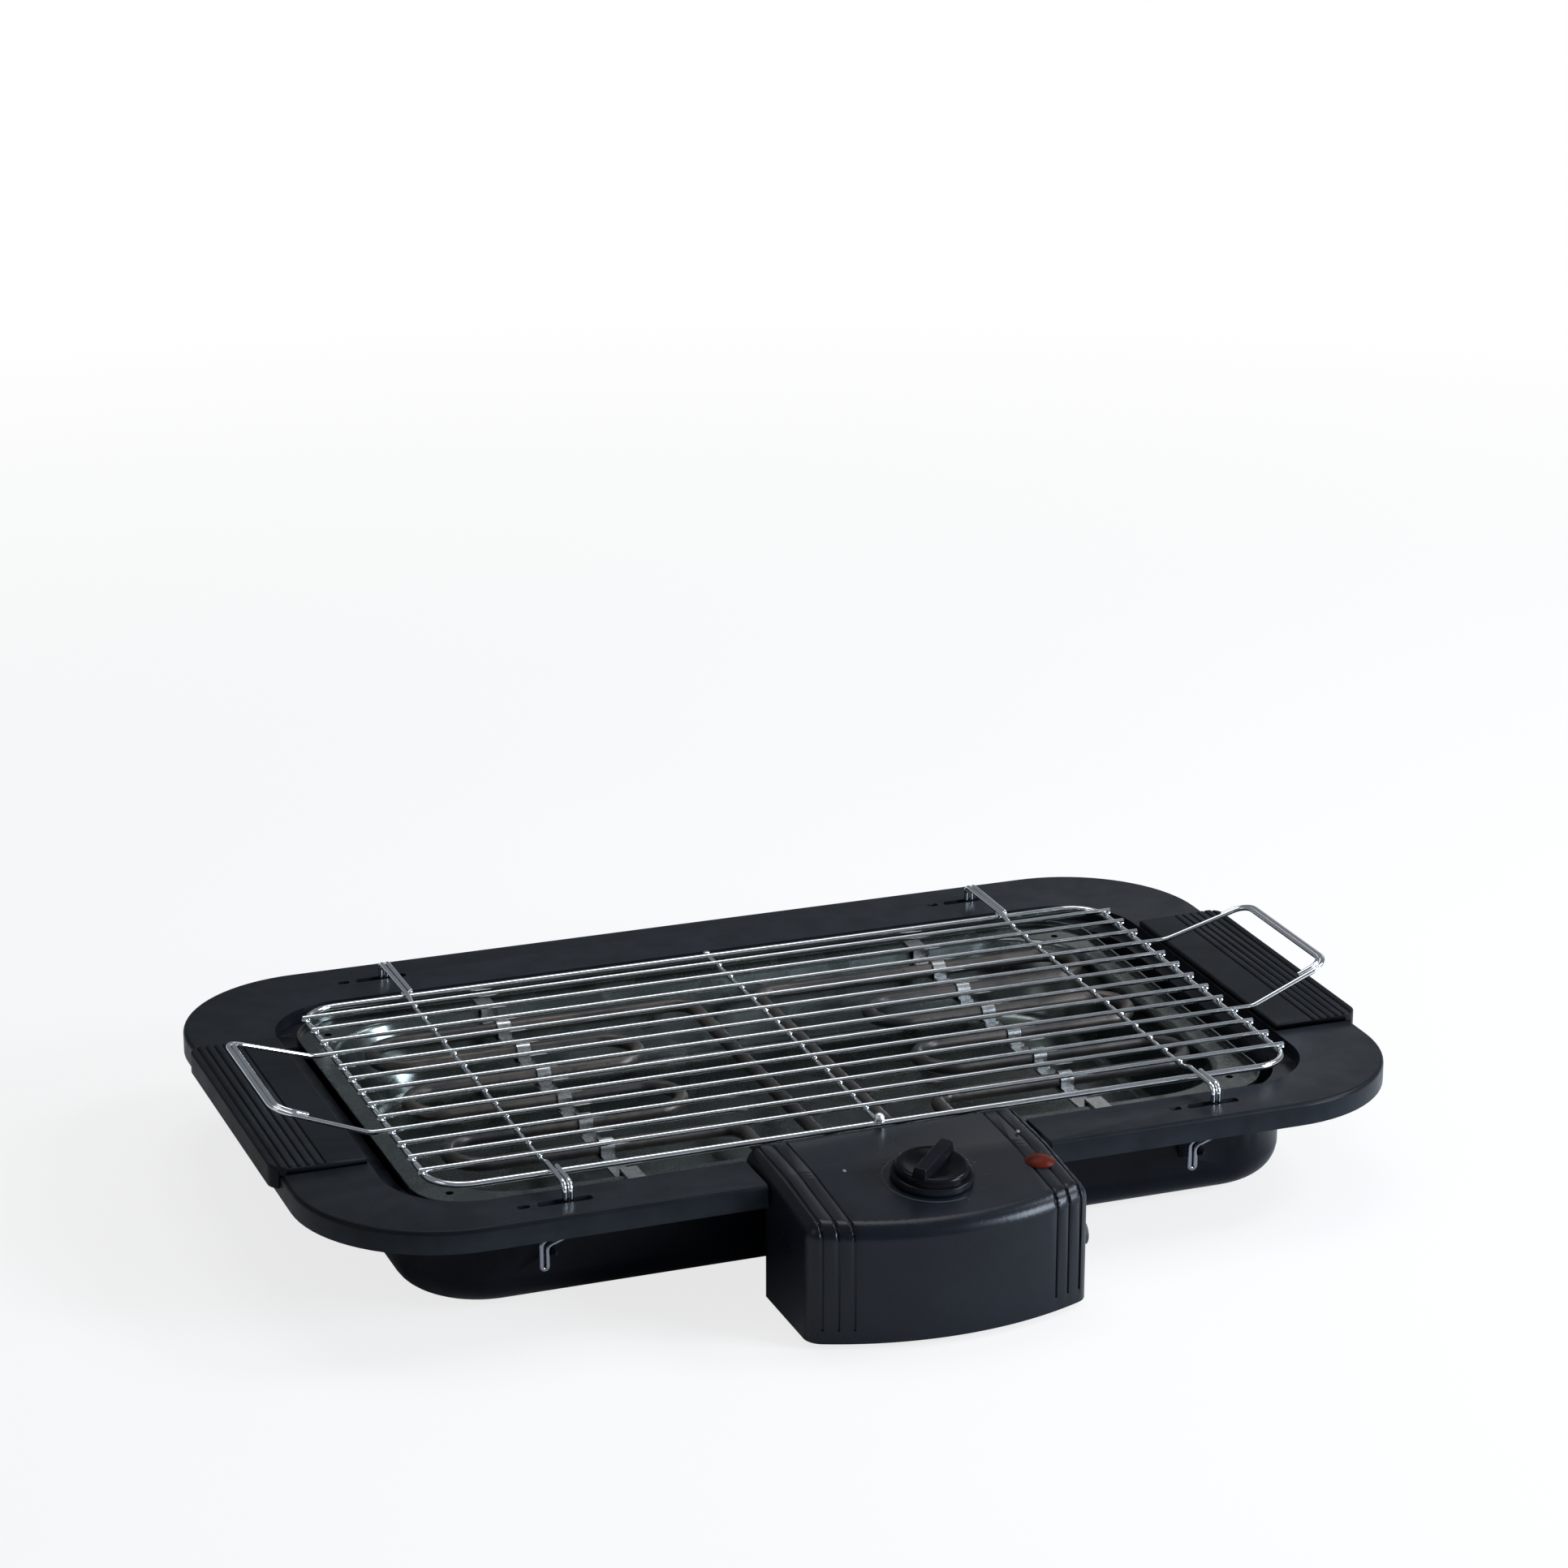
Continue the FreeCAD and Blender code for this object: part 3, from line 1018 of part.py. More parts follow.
def make_handle_wire(row):
    """Return one handle wire; row is -1 for the front one and 1 for the back one.

    Each runs the length of the grid, bends up at both ends and doubles the other one: the front
    wire lies outside the back wire, and each ends beside the other just past the corner.
    """
    offset = -row * HANDLE_PAIR_PITCH / 2.0
    y = row * HANDLE_ROW * WIRE_PITCH
    near = GRID_LENGTH / 2.0 + HANDLE_RUN_OUT
    far = GRID_LENGTH / 2.0 + HANDLE_REACH
    tip = abs(y) - HANDLE_TAPER
    high = GRID_Z + HANDLE_RISE
    own = Vector(far + offset, row * (tip + offset), high)
    opposite = Vector(far + offset, -row * (tip + offset), high)
    beside = Vector(far - offset, -row * (tip - offset), high)
    along = (Vector(near, -y, GRID_Z) - beside).normalize()
    right = [Vector(near, y, GRID_Z), own, opposite, opposite + along * HANDLE_LAP]
    corner = HANDLE_CORNER_R + offset
    left = [Vector(-p.x, p.y, p.z) for p in reversed(right)]
    return bent_rod(left + right, [0.0, corner, corner, HANDLE_BEND_R, HANDLE_BEND_R, corner, corner, 0.0],
                    LONG_WIRE_D)


def make_centre_wire():
    """Return the straight cross wire in the middle."""
    length = 2.0 * (FRAME_RUN - FRAME_WIRE_D / 2.0)
    return rod(CROSS_WIRE_D, length, Vector(0, -length / 2.0, CROSS_Z), Vector(0, 1, 0))


def foot_leg(x, y, side):
    """Return one foot's points, from the grid to its tip, for one leg of the hairpin."""
    over = FRAME_Z + (FRAME_WIRE_D + CROSS_WIRE_D) / 2.0
    shift = side * FOOT_PAIR_PITCH / 2.0
    slant = math.atan2(FOOT_JOG_BOTTOM - FOOT_JOG_TOP, FOOT_JOG)
    rise = shift * (1.0 - math.sin(slant)) / math.cos(slant)
    return [Vector(x + shift, y, over),
            Vector(x + shift, y, GRID_Z - FOOT_JOG_TOP - rise),
            Vector(x - FOOT_JOG + shift, y, GRID_Z - FOOT_JOG_BOTTOM - rise),
            Vector(x - FOOT_JOG + shift, y, GRID_Z - FOOT_DEPTH + CROSS_WIRE_D / 2.0)]


def make_foot_wire(x):
    """Return one cross wire with a hairpin foot at each end."""
    over = FRAME_Z + (FRAME_WIRE_D + CROSS_WIRE_D) / 2.0
    main = x - FOOT_PAIR_PITCH / 2.0
    twin = x + FOOT_PAIR_PITCH / 2.0
    turn = FOOT_PAIR_PITCH / 2.0
    climb = WIRE_PITCH * 0.32
    points = [Vector(twin, -FRAME_RUN, over)]
    radii = [0.0]
    points += foot_leg(x, FOOT_Y[0], 1) + foot_leg(x, FOOT_Y[0], -1)[::-1]
    radii += [FOOT_BEND_R, 3.0, 3.0, turn, turn, 3.0, 3.0, FOOT_BEND_R]
    points += [Vector(main, -ROW_SPAN - WIRE_PITCH + climb, over), Vector(main, -ROW_SPAN - climb / 2.0, CROSS_Z),
               Vector(main, ROW_SPAN + climb / 2.0, CROSS_Z), Vector(main, ROW_SPAN + WIRE_PITCH - climb, over)]
    radii += [3.0, 3.0, 3.0, 3.0]
    points += foot_leg(x, FOOT_Y[1], -1) + foot_leg(x, FOOT_Y[1], 1)[::-1]
    radii += [FOOT_BEND_R, 3.0, 3.0, turn, turn, 3.0, 3.0, FOOT_BEND_R]
    points.append(Vector(twin, FRAME_RUN, over))
    radii.append(0.0)
    return bent_rod(points, radii, CROSS_WIRE_D)


def main():
    """Build every node and write it to the parts folder."""
    os.makedirs("parts", exist_ok=True)
    save("lower_body", make_lower_body())
    save("rim_frame", make_rim_frame())
    save("rim_screws", make_rim_screws())
    save("rubber_feet", make_rubber_feet())
    save("left_grip", make_grip(-1))
    save("right_grip", make_grip(1))
    save("grip_screws", make_grip_screws())
    save("drip_tray", make_drip_tray())
    save("element_tube_left", make_element_tube(-1))
    save("element_tube_right", make_element_tube(1))
    save("element_pins", make_element_pins())
    save("element_bracket_left", make_element_bracket(-1))
    save("element_bracket_right", make_element_bracket(1))
    save("element_straps", make_element_straps())
    save("element_saddles", make_element_saddles())
    save("mount_plate", make_mount_plate())
    save("unit_housing", make_unit_housing())
    save("unit_cover", make_unit_cover())
    save("cover_screws", make_cover_screws())
    save("cord_gland", make_cord_gland())
    save("terminal_block", make_terminal_block())
    save("thermostat", make_thermostat())
    save("thermostat_shaft", make_thermostat_shaft())
    save("control_knob", make_knob())
    save("pilot_lens", make_pilot_lens())
    save("pilot_lamp", make_pilot_lamp())
    save("safety_switch", make_safety_switch())
    save("switch_plunger", make_switch_plunger())
    save("grid_frame", make_grid_frame())
    save("grid_long_wires", make_long_wires())
    save("grid_handle_wire_front", make_handle_wire(-1))
    save("grid_handle_wire_back", make_handle_wire(1))
    save("grid_centre_wire", make_centre_wire())
    save("grid_foot_wire_left", make_foot_wire(FOOT_X[0]))
    save("grid_foot_wire_right", make_foot_wire(FOOT_X[1]))


main()
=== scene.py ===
"""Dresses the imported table-top electric grill and lights it for its picture."""
import logging
import math
from dataclasses import dataclass, replace
from enum import Enum
from typing import Callable, Sequence

import bpy
from mathutils import Matrix, Vector


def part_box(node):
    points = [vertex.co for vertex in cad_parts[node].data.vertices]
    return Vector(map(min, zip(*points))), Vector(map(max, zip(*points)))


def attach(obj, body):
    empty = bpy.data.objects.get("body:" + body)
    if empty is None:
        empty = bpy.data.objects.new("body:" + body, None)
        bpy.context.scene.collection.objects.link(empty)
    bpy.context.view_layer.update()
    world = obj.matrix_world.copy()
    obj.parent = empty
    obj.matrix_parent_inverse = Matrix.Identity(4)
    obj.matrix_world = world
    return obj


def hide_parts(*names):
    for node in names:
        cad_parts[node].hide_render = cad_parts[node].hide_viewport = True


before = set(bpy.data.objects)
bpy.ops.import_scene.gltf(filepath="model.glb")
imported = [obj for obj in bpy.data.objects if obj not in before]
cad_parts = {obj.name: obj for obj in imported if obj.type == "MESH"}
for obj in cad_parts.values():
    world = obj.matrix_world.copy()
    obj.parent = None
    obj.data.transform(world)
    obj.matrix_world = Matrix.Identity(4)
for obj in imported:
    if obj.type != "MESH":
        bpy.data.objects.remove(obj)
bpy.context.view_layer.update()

MM = 0.001
MERGE = 1e-6        # seams closer than this are closed, in metres
MESH_MERGE = 2e-6   # the same for a copy of a CAD mesh
FACING = 0.9        # cosine within which a face looks one way
UP = Vector((0.0, 0.0, 1.0))
Point = tuple[float, float, float]
Rgb = tuple[float, float, float]
log = logging.getLogger("grill")


class Body(Enum):
    """The moving bodies that pieces ride on."""

    BASE = "base"
    TRAY = "tray"
    UNIT = "control_unit"
    KNOB = "knob"
    PLUNGER = "plunger"
    GRID = "grid"


# ---- workshop helpers -------------------------------------------------------------
def pick(obj: bpy.types.Object) -> None:
    """Make obj the only selected object and the active one.

    Args:
        obj: the object to work on.
    """
    deselect()
    obj.select_set(True)
    bpy.context.view_layer.objects.active = obj


def deselect() -> None:
    """Deselect everything, in object mode."""
    if bpy.context.object and bpy.context.object.mode != "OBJECT":
        bpy.ops.object.mode_set(mode="OBJECT")
    bpy.ops.object.select_all(action="DESELECT")


def in_edit(obj: bpy.types.Object, work: Callable[[], None]) -> None:
    """Run edit-mode operators on the whole mesh of obj.

    Args:
        obj: the object whose mesh is edited.
        work: calls the operators; everything is selected when it starts.
    """
    pick(obj)
    bpy.ops.object.mode_set(mode="EDIT")
    bpy.ops.mesh.select_all(action="SELECT")
    work()
    bpy.ops.object.mode_set(mode="OBJECT")


def in_faces(obj: bpy.types.Object, facing: Vector, work: Callable[[], None]) -> None:
    """Run edit-mode operators with only the faces selected that look one way.

    Args:
        obj: the object whose mesh is edited.
        facing: the way that they look, as a unit vector.
        work: calls the operators.
    """
    for part in (*obj.data.vertices, *obj.data.edges):
        part.select = False
    for face in obj.data.polygons:
        face.select = face.normal.dot(facing) > FACING
    pick(obj)
    bpy.ops.object.mode_set(mode="EDIT")
    bpy.ops.mesh.select_mode(type="FACE")
    work()
    bpy.ops.object.mode_set(mode="OBJECT")


def close_seams() -> None:
    """Merge the doubles of the selected mesh and turn its normals outwards."""
    bpy.ops.mesh.remove_doubles(threshold=MERGE)
    bpy.ops.mesh.normals_make_consistent(inside=False)


def apply_modifier(obj: bpy.types.Object, kind: str, **settings: object) -> None:
    """Add a modifier with these settings and apply it.

    Args:
        obj: the object to change.
        kind: Blender's name for the modifier.
        **settings: values set on the modifier.
    """
    pick(obj)
    modifier = obj.modifiers.new(kind.title(), kind)
    for key, value in settings.items():
        setattr(modifier, key, value)
    bpy.ops.object.modifier_apply(modifier=modifier.name)


def soften(obj: bpy.types.Object, width: float, segments: int = 2, angle: float = 40.0) -> None:
    """Round the edges of obj.

    Args:
        obj: the object to change.
        width: width of the rounding, in mm.
        segments: steps of each rounding.
        angle: edges sharper than this are rounded, in degrees.
    """
    apply_modifier(obj, "BEVEL", width=width * MM, segments=segments, limit_method="ANGLE",
                   angle_limit=math.radians(angle), use_clamp_overlap=False)
    even_out(obj, angle)


def smooth(obj: bpy.types.Object, angle: float = 35.0) -> None:
    """Shade obj smooth, with edges sharper than angle kept.

    Args:
        obj: the object to shade.
        angle: the sharpest edge that is smoothed, in degrees.
    """
    pick(obj)
    bpy.ops.object.shade_smooth_by_angle(angle=math.radians(angle))


def even_out(obj: bpy.types.Object, angle: float = 35.0) -> None:
    """Shade obj smooth and weight its normals so that flats stay flat.

    Args:
        obj: the object to shade.
        angle: the sharpest edge that is smoothed, in degrees.
    """
    smooth(obj, angle)
    apply_modifier(obj, "WEIGHTED_NORMAL", keep_sharp=True)


def settle(obj: bpy.types.Object) -> None:
    """Put the place, turn and scale of obj into its mesh.

    Args:
        obj: the object to settle.
    """
    pick(obj)
    bpy.ops.object.transform_apply(location=True, rotation=True, scale=True)


def block(size: Sequence[float], place: Sequence[float]) -> bpy.types.Object:
    """Add a block.

    Args:
        size: its sides, in mm.
        place: its centre, in mm.

    Returns:
        The block, with its place in its mesh.
    """
    deselect()
    bpy.ops.mesh.primitive_cube_add(size=1.0, location=[value * MM for value in place],
                                    scale=[value * MM for value in size])
    obj = bpy.context.object
    settle(obj)
    return obj


def shift(x: float, y: float, z: float) -> Matrix:
    """Return the matrix of a move that is given in mm."""
    return Matrix.Translation(Vector((x, y, z)) * MM)


def placed_copy(obj: bpy.types.Object, matrix: Matrix) -> bpy.types.Object:
    """Copy obj with its own mesh, moved by matrix.

    Args:
        obj: the piece that repeats.
        matrix: its place, in metres.

    Returns:
        The copy, with its place in its mesh.
    """
    twin = bpy.data.objects.new(obj.name, obj.data.copy())
    bpy.context.scene.collection.objects.link(twin)
    twin.data.transform(matrix)
    return twin


def join(pieces: Sequence[bpy.types.Object], name: str) -> bpy.types.Object:
    """Join pieces into one object.

    Args:
        pieces: the objects to join.
        name: name of the result.

    Returns:
        The joined object.
    """
    pick(pieces[0])
    for piece in pieces[1:]:
        piece.select_set(True)
    if len(pieces) > 1:
        bpy.ops.object.join()
    pieces[0].name = name
    return pieces[0]


def repeat(obj: bpy.types.Object, places: Sequence[Matrix], name: str) -> bpy.types.Object:
    """Copy one piece to many places, join the copies and drop the first.

    Args:
        obj: the piece, modelled about the origin.
        places: where each copy goes.
        name: name of the result.

    Returns:
        The joined copies.
    """
    copies = [placed_copy(obj, place) for place in places]
    bpy.data.objects.remove(obj)
    return join(copies, name)


# ---- shader node helpers ----------------------------------------------------------
@dataclass
class Sheet:
    """A node tree being drawn."""

    tree: bpy.types.NodeTree

    def add(self, kind: str, **settings: object) -> bpy.types.Node:
        """Add a node.

        Args:
            kind: Blender's type name.
            **settings: properties of the node; names that are no property are input values.

        Returns:
            The node.
        """
        node = self.tree.nodes.new(kind)
        node.location = (220.0 * (len(self.tree.nodes) % 8), -220.0 * (len(self.tree.nodes) // 8))
        for key, value in settings.items():
            label = key.replace("_", " ")
            if label in node.inputs:
                node.inputs[label].default_value = value
            else:
                setattr(node, key, value)
        return node

    def link(self, source: bpy.types.NodeSocket, target: bpy.types.NodeSocket) -> None:
        """Link two sockets."""
        self.tree.links.new(source, target)

    def noise(self, place: bpy.types.NodeSocket, scale: float, detail: float = 4.0,
              roughness: float = 0.55) -> bpy.types.NodeSocket:
        """Add a noise texture.

        Args:
            place: coordinates.
            scale: repeats per metre.
            detail: octaves.
            roughness: weight of the fine octaves.

        Returns:
            Its factor.
        """
        node = self.add("ShaderNodeTexNoise", Scale=scale, Detail=detail, Roughness=roughness)
        self.link(place, node.inputs["Vector"])
        return node.outputs["Fac"]

    def spread(self, value: bpy.types.NodeSocket, low: float, high: float, to_low: float = 0.0,
               to_high: float = 1.0) -> bpy.types.NodeSocket:
        """Map a value from one range to another, clamped.

        Args:
            value: what is mapped.
            low: start of its range.
            high: end of its range.
            to_low: result at the start.
            to_high: result at the end.

        Returns:
            The mapped value.
        """
        node = self.add("ShaderNodeMapRange")
        for index, number in ((1, low), (2, high), (3, to_low), (4, to_high)):
            node.inputs[index].default_value = number
        self.link(value, node.inputs[0])
        return node.outputs[0]

    def height(self, vector: bpy.types.NodeSocket) -> bpy.types.NodeSocket:
        """Take the Z of a vector.

        Args:
            vector: a place or a normal.

        Returns:
            Its Z.
        """
        node = self.add("ShaderNodeSeparateXYZ")
        self.link(vector, node.inputs[0])
        return node.outputs["Z"]

    def blend(self, mask: bpy.types.NodeSocket, first: object, second: object) -> bpy.types.NodeSocket:
        """Mix two colours by a mask.

        Args:
            mask: 0 gives the first colour and 1 the second.
            first: a colour or a socket.
            second: a colour or a socket.

        Returns:
            The mixed colour.
        """
        node = self.add("ShaderNodeMix", data_type="RGBA")
        self.link(mask, node.inputs[0])
        for socket, colour in ((node.inputs[6], first), (node.inputs[7], second)):
            if isinstance(colour, bpy.types.NodeSocket):
                self.link(colour, socket)
            else:
                socket.default_value = (*colour, 1.0)
        return node.outputs[2]

    def calc(self, operation: str, first: object, second: object) -> bpy.types.NodeSocket:
        """Add a math node.

        Args:
            operation: Blender's name, such as ADD or MULTIPLY.
            first: a number or a socket.
            second: a number or a socket.

        Returns:
            The result.
        """
        node = self.add("ShaderNodeMath", operation=operation)
        for socket, value in ((node.inputs[0], first), (node.inputs[1], second)):
            if isinstance(value, bpy.types.NodeSocket):
                self.link(value, socket)
            else:
                socket.default_value = value
        return node.outputs[0]


@dataclass(frozen=True)
class Effect:
    """A shader node group that several finishes share."""

    name: str
    inputs: tuple[tuple[str, float], ...]
    outputs: tuple[str, ...]
    draw: Callable[[Sheet, bpy.types.Node, bpy.types.Node], None]

    def tree(self) -> bpy.types.NodeTree:
        """Draw the group on its first use.

        Returns:
            The group's node tree.
        """
        found = bpy.data.node_groups.get(self.name)
        if found:
            return found
        group = bpy.data.node_groups.new(self.name, "ShaderNodeTree")
        group.interface.new_socket("Vector", in_out="INPUT", socket_type="NodeSocketVector")
        for label, value in self.inputs:
            socket = group.interface.new_socket(label, in_out="INPUT", socket_type="NodeSocketFloat")
            socket.default_value = value
        for label in self.outputs:
            group.interface.new_socket(label, in_out="OUTPUT", socket_type="NodeSocketFloat")
        sheet = Sheet(group)
        self.draw(sheet, group.nodes.new("NodeGroupInput"), group.nodes.new("NodeGroupOutput"))
        return group

    def use(self, sheet: Sheet, place: bpy.types.NodeSocket, **values: float) -> bpy.types.Node:
        """Place the group in a material.

        Args:
            sheet: the material's nodes.
            place: coordinates.
            **values: inputs of the group, with underscores for blanks.

        Returns:
            The group node.
        """
        node = sheet.add("ShaderNodeGroup", node_tree=self.tree())
        sheet.link(place, node.inputs["Vector"])
        for label, value in values.items():
            node.inputs[label.replace("_", " ")].default_value = value
        return node


def draw_grain(sheet: Sheet, source: bpy.types.Node, target: bpy.types.Node) -> None:
    """Draw the spark-eroded grain of a mould: fine cells over slow clouds.

    Args:
        sheet: the group's nodes.
        source: its input node.
        target: its output node.
    """
    cells = sheet.add("ShaderNodeTexVoronoi", feature="F1")
    sheet.link(source.outputs["Vector"], cells.inputs["Vector"])
    sheet.link(source.outputs["Scale"], cells.inputs["Scale"])
    clouds = sheet.noise(source.outputs["Vector"], scale=55.0, detail=5.0)
    fine = sheet.noise(source.outputs["Vector"], scale=1400.0, detail=2.0)
    height = sheet.calc("ADD", sheet.calc("MULTIPLY", cells.outputs["Distance"], 0.6),
                        sheet.calc("MULTIPLY", fine, 0.4))
    sheet.link(height, target.inputs["Height"])
    sheet.link(sheet.spread(clouds, low=0.35, high=0.68), target.inputs["Clouds"])


def draw_dust(sheet: Sheet, source: bpy.types.Node, target: bpy.types.Node) -> None:
    """Draw dust and wiping marks that lie on faces turned upwards.

    Args:
        sheet: the group's nodes.
        source: its input node.
        target: its output node.
    """
    geometry = sheet.add("ShaderNodeNewGeometry")
    upward = sheet.spread(sheet.height(geometry.outputs["Normal"]), low=0.4, high=1.0)
    flecks = sheet.spread(sheet.noise(source.outputs["Vector"], scale=620.0, detail=3.0), low=0.6, high=0.75)
    smears = sheet.spread(sheet.noise(source.outputs["Vector"], scale=16.0), low=0.4, high=0.75)
    dirt = sheet.calc("ADD", sheet.calc("MULTIPLY", flecks, 0.35), smears)
    amount = sheet.calc("MULTIPLY", sheet.calc("MULTIPLY", dirt, upward), source.outputs["Amount"])
    sheet.link(amount, target.inputs["Mask"])


def draw_wear_and_highlight(sheet: Sheet, source: bpy.types.Node, target: bpy.types.Node) -> None:
    """Draw lighter edges: polish where hands and cloths rub, and a painted highlight along sharp edges.

    Args:
        sheet: the group's nodes.
        source: its input node.
        target: its output node.
    """
    geometry = sheet.add("ShaderNodeNewGeometry")
    # Sharp edges by pointiness: partly real wear, partly a painted highlight along the edges.
    edge = sheet.spread(geometry.outputs["Pointiness"], low=0.51, high=0.58)
    patchy = sheet.spread(sheet.noise(source.outputs["Vector"], scale=70.0), low=0.3, high=0.6, to_low=0.35)
    mask = sheet.calc("MULTIPLY", sheet.calc("MULTIPLY", edge, patchy), source.outputs["Amount"])
    sheet.link(mask, target.inputs["Mask"])


GRAIN = Effect("mould_grain", (("Scale", 900.0),), ("Height", "Clouds"), draw_grain)
DUST = Effect("top_dust", (("Amount", 0.3),), ("Mask",), draw_dust)
# Edge mask: partly rubbed wear, partly a painted highlight on the edges.
WEAR_AND_HIGHLIGHT = Effect("edge_wear_and_highlight", (("Amount", 0.5),), ("Mask",), draw_wear_and_highlight)


def new_material(name: str) -> tuple[bpy.types.Material, Sheet, bpy.types.Node, bpy.types.NodeSocket]:
    """Start a material.

    Args:
        name: name of the finish.

    Returns:
        The material, its nodes, its shader and its object coordinates.
    """
    material = bpy.data.materials.new(name)
    material.use_nodes = True
    sheet = Sheet(material.node_tree)
    shader = material.node_tree.nodes["Principled BSDF"]
    place = sheet.add("ShaderNodeTexCoord").outputs["Object"]
    return material, sheet, shader, place


def bump(sheet: Sheet, shader: bpy.types.Node, height: bpy.types.NodeSocket, depth: float,
         strength: float = 1.0) -> None:
    """Feed a height to the shader's normal.

    Args:
        sheet: the material's nodes.
        shader: the shader.
        height: the height, 0 to 1.
        depth: what 1 is, in mm.
        strength: share of the effect.
    """
    node = sheet.add("ShaderNodeBump", Strength=strength, Distance=depth * MM)
    sheet.link(height, node.inputs["Height"])
    sheet.link(node.outputs["Normal"], shader.inputs["Normal"])


# ---- finishes ---------------------------------------------------------------------
@dataclass(frozen=True)
class MouldedPlastic:
    """Satin black plastic with the grain of its mould."""

    name: str
    colour: Rgb = (0.0058, 0.0073, 0.0095)
    # lighter colour of the edges: partly wear, partly painted highlight
    rubbed_and_highlight: Rgb = (0.022, 0.026, 0.033)
    dust: Rgb = (0.02, 0.023, 0.026)
    rough: tuple[float, float] = (0.36, 0.46)
    shine: float = 0.08
    grain: float = 900.0
    depth: float = 0.05
    wear_and_highlight: float = 0.5
    dusty: float = 0.35
    coat: float = 0.0
    clouding: float = 1.35
    dust_rough: float = 0.25
    wear_polish: float = 0.08

    def material(self) -> bpy.types.Material:
        """Make the finish.

        Returns:
            The material.
        """
        material, sheet, shader, place = new_material(self.name)
        grain = GRAIN.use(sheet, place, Scale=self.grain)
        wear_and_highlight = WEAR_AND_HIGHLIGHT.use(sheet, place, Amount=self.wear_and_highlight)
        dust = DUST.use(sheet, place, Amount=self.dusty)
        lighter = tuple(channel * self.clouding for channel in self.colour)
        colour = sheet.blend(grain.outputs["Clouds"], self.colour, lighter)
        # Edges take the lighter rubbed colour: partly wear, partly a painted highlight.
        colour = sheet.blend(wear_and_highlight.outputs["Mask"], colour, self.rubbed_and_highlight)
        colour = sheet.blend(dust.outputs["Mask"], colour, self.dust)
        sheet.link(colour, shader.inputs["Base Color"])
        rough = sheet.calc("ADD", sheet.spread(grain.outputs["Clouds"], 0.0, 1.0, *self.rough),
                           sheet.calc("MULTIPLY", dust.outputs["Mask"], self.dust_rough))
        polish = sheet.calc("MULTIPLY", wear_and_highlight.outputs["Mask"], self.wear_polish)
        sheet.link(sheet.calc("SUBTRACT", rough, polish), shader.inputs["Roughness"])
        shader.inputs["IOR"].default_value = 1.49
        shader.inputs["Specular IOR Level"].default_value = self.shine
        shader.inputs["Coat Weight"].default_value = self.coat
        shader.inputs["Coat Roughness"].default_value = 0.12
        bump(sheet, shader, grain.outputs["Height"], self.depth, strength=0.5)
        return material


@dataclass(frozen=True)
class BrightMetal:
    """Plated or bare metal with drawing marks, heat tint and small rough patches, and where asked painted
    shade low down.
    """

    name: str
    colour: Rgb = (0.66, 0.67, 0.69)
    stain: Rgb = (0.42, 0.40, 0.37)
    rough: tuple[float, float] = (0.08, 0.2)
    marks: float = 260.0
    depth: float = 0.01
    stained: float = 0.35
    stain_rough: float = 0.25
    # dark colour of the painted shade low on the metal
    tint: Rgb = (0.22, 0.23, 0.255)
    painted_shade_z: tuple[float, float] | None = None

    def material(self) -> bpy.types.Material:
        """Make the finish; below the given height, in mm, the metal turns to the dark tint colour as painted
        shade.

        Returns:
            The material.
        """
        material, sheet, shader, place = new_material(self.name)
        streaks = sheet.noise(place, self.marks, detail=5.0, roughness=0.6)
        patches = sheet.spread(sheet.noise(place, scale=34.0, detail=5.0), low=0.48, high=0.75,
                               to_high=self.stained)
        colour = sheet.blend(patches, self.colour, self.stain)
        # Painted shade: below the given height the colour turns to the dark tint, where the feet hang under
        # the rim.
        if self.painted_shade_z:
            bottom, top = self.painted_shade_z
            colour = sheet.blend(sheet.spread(sheet.height(place), bottom * MM, top * MM), self.tint, colour)
        sheet.link(colour, shader.inputs["Base Color"])
        rough = sheet.calc("ADD", sheet.spread(streaks, 0.3, 0.7, *self.rough),
                           sheet.calc("MULTIPLY", patches, self.stain_rough))
        sheet.link(rough, shader.inputs["Roughness"])
        shader.inputs["Metallic"].default_value = 1.0
        bump(sheet, shader, streaks, self.depth, strength=0.4)
        return material


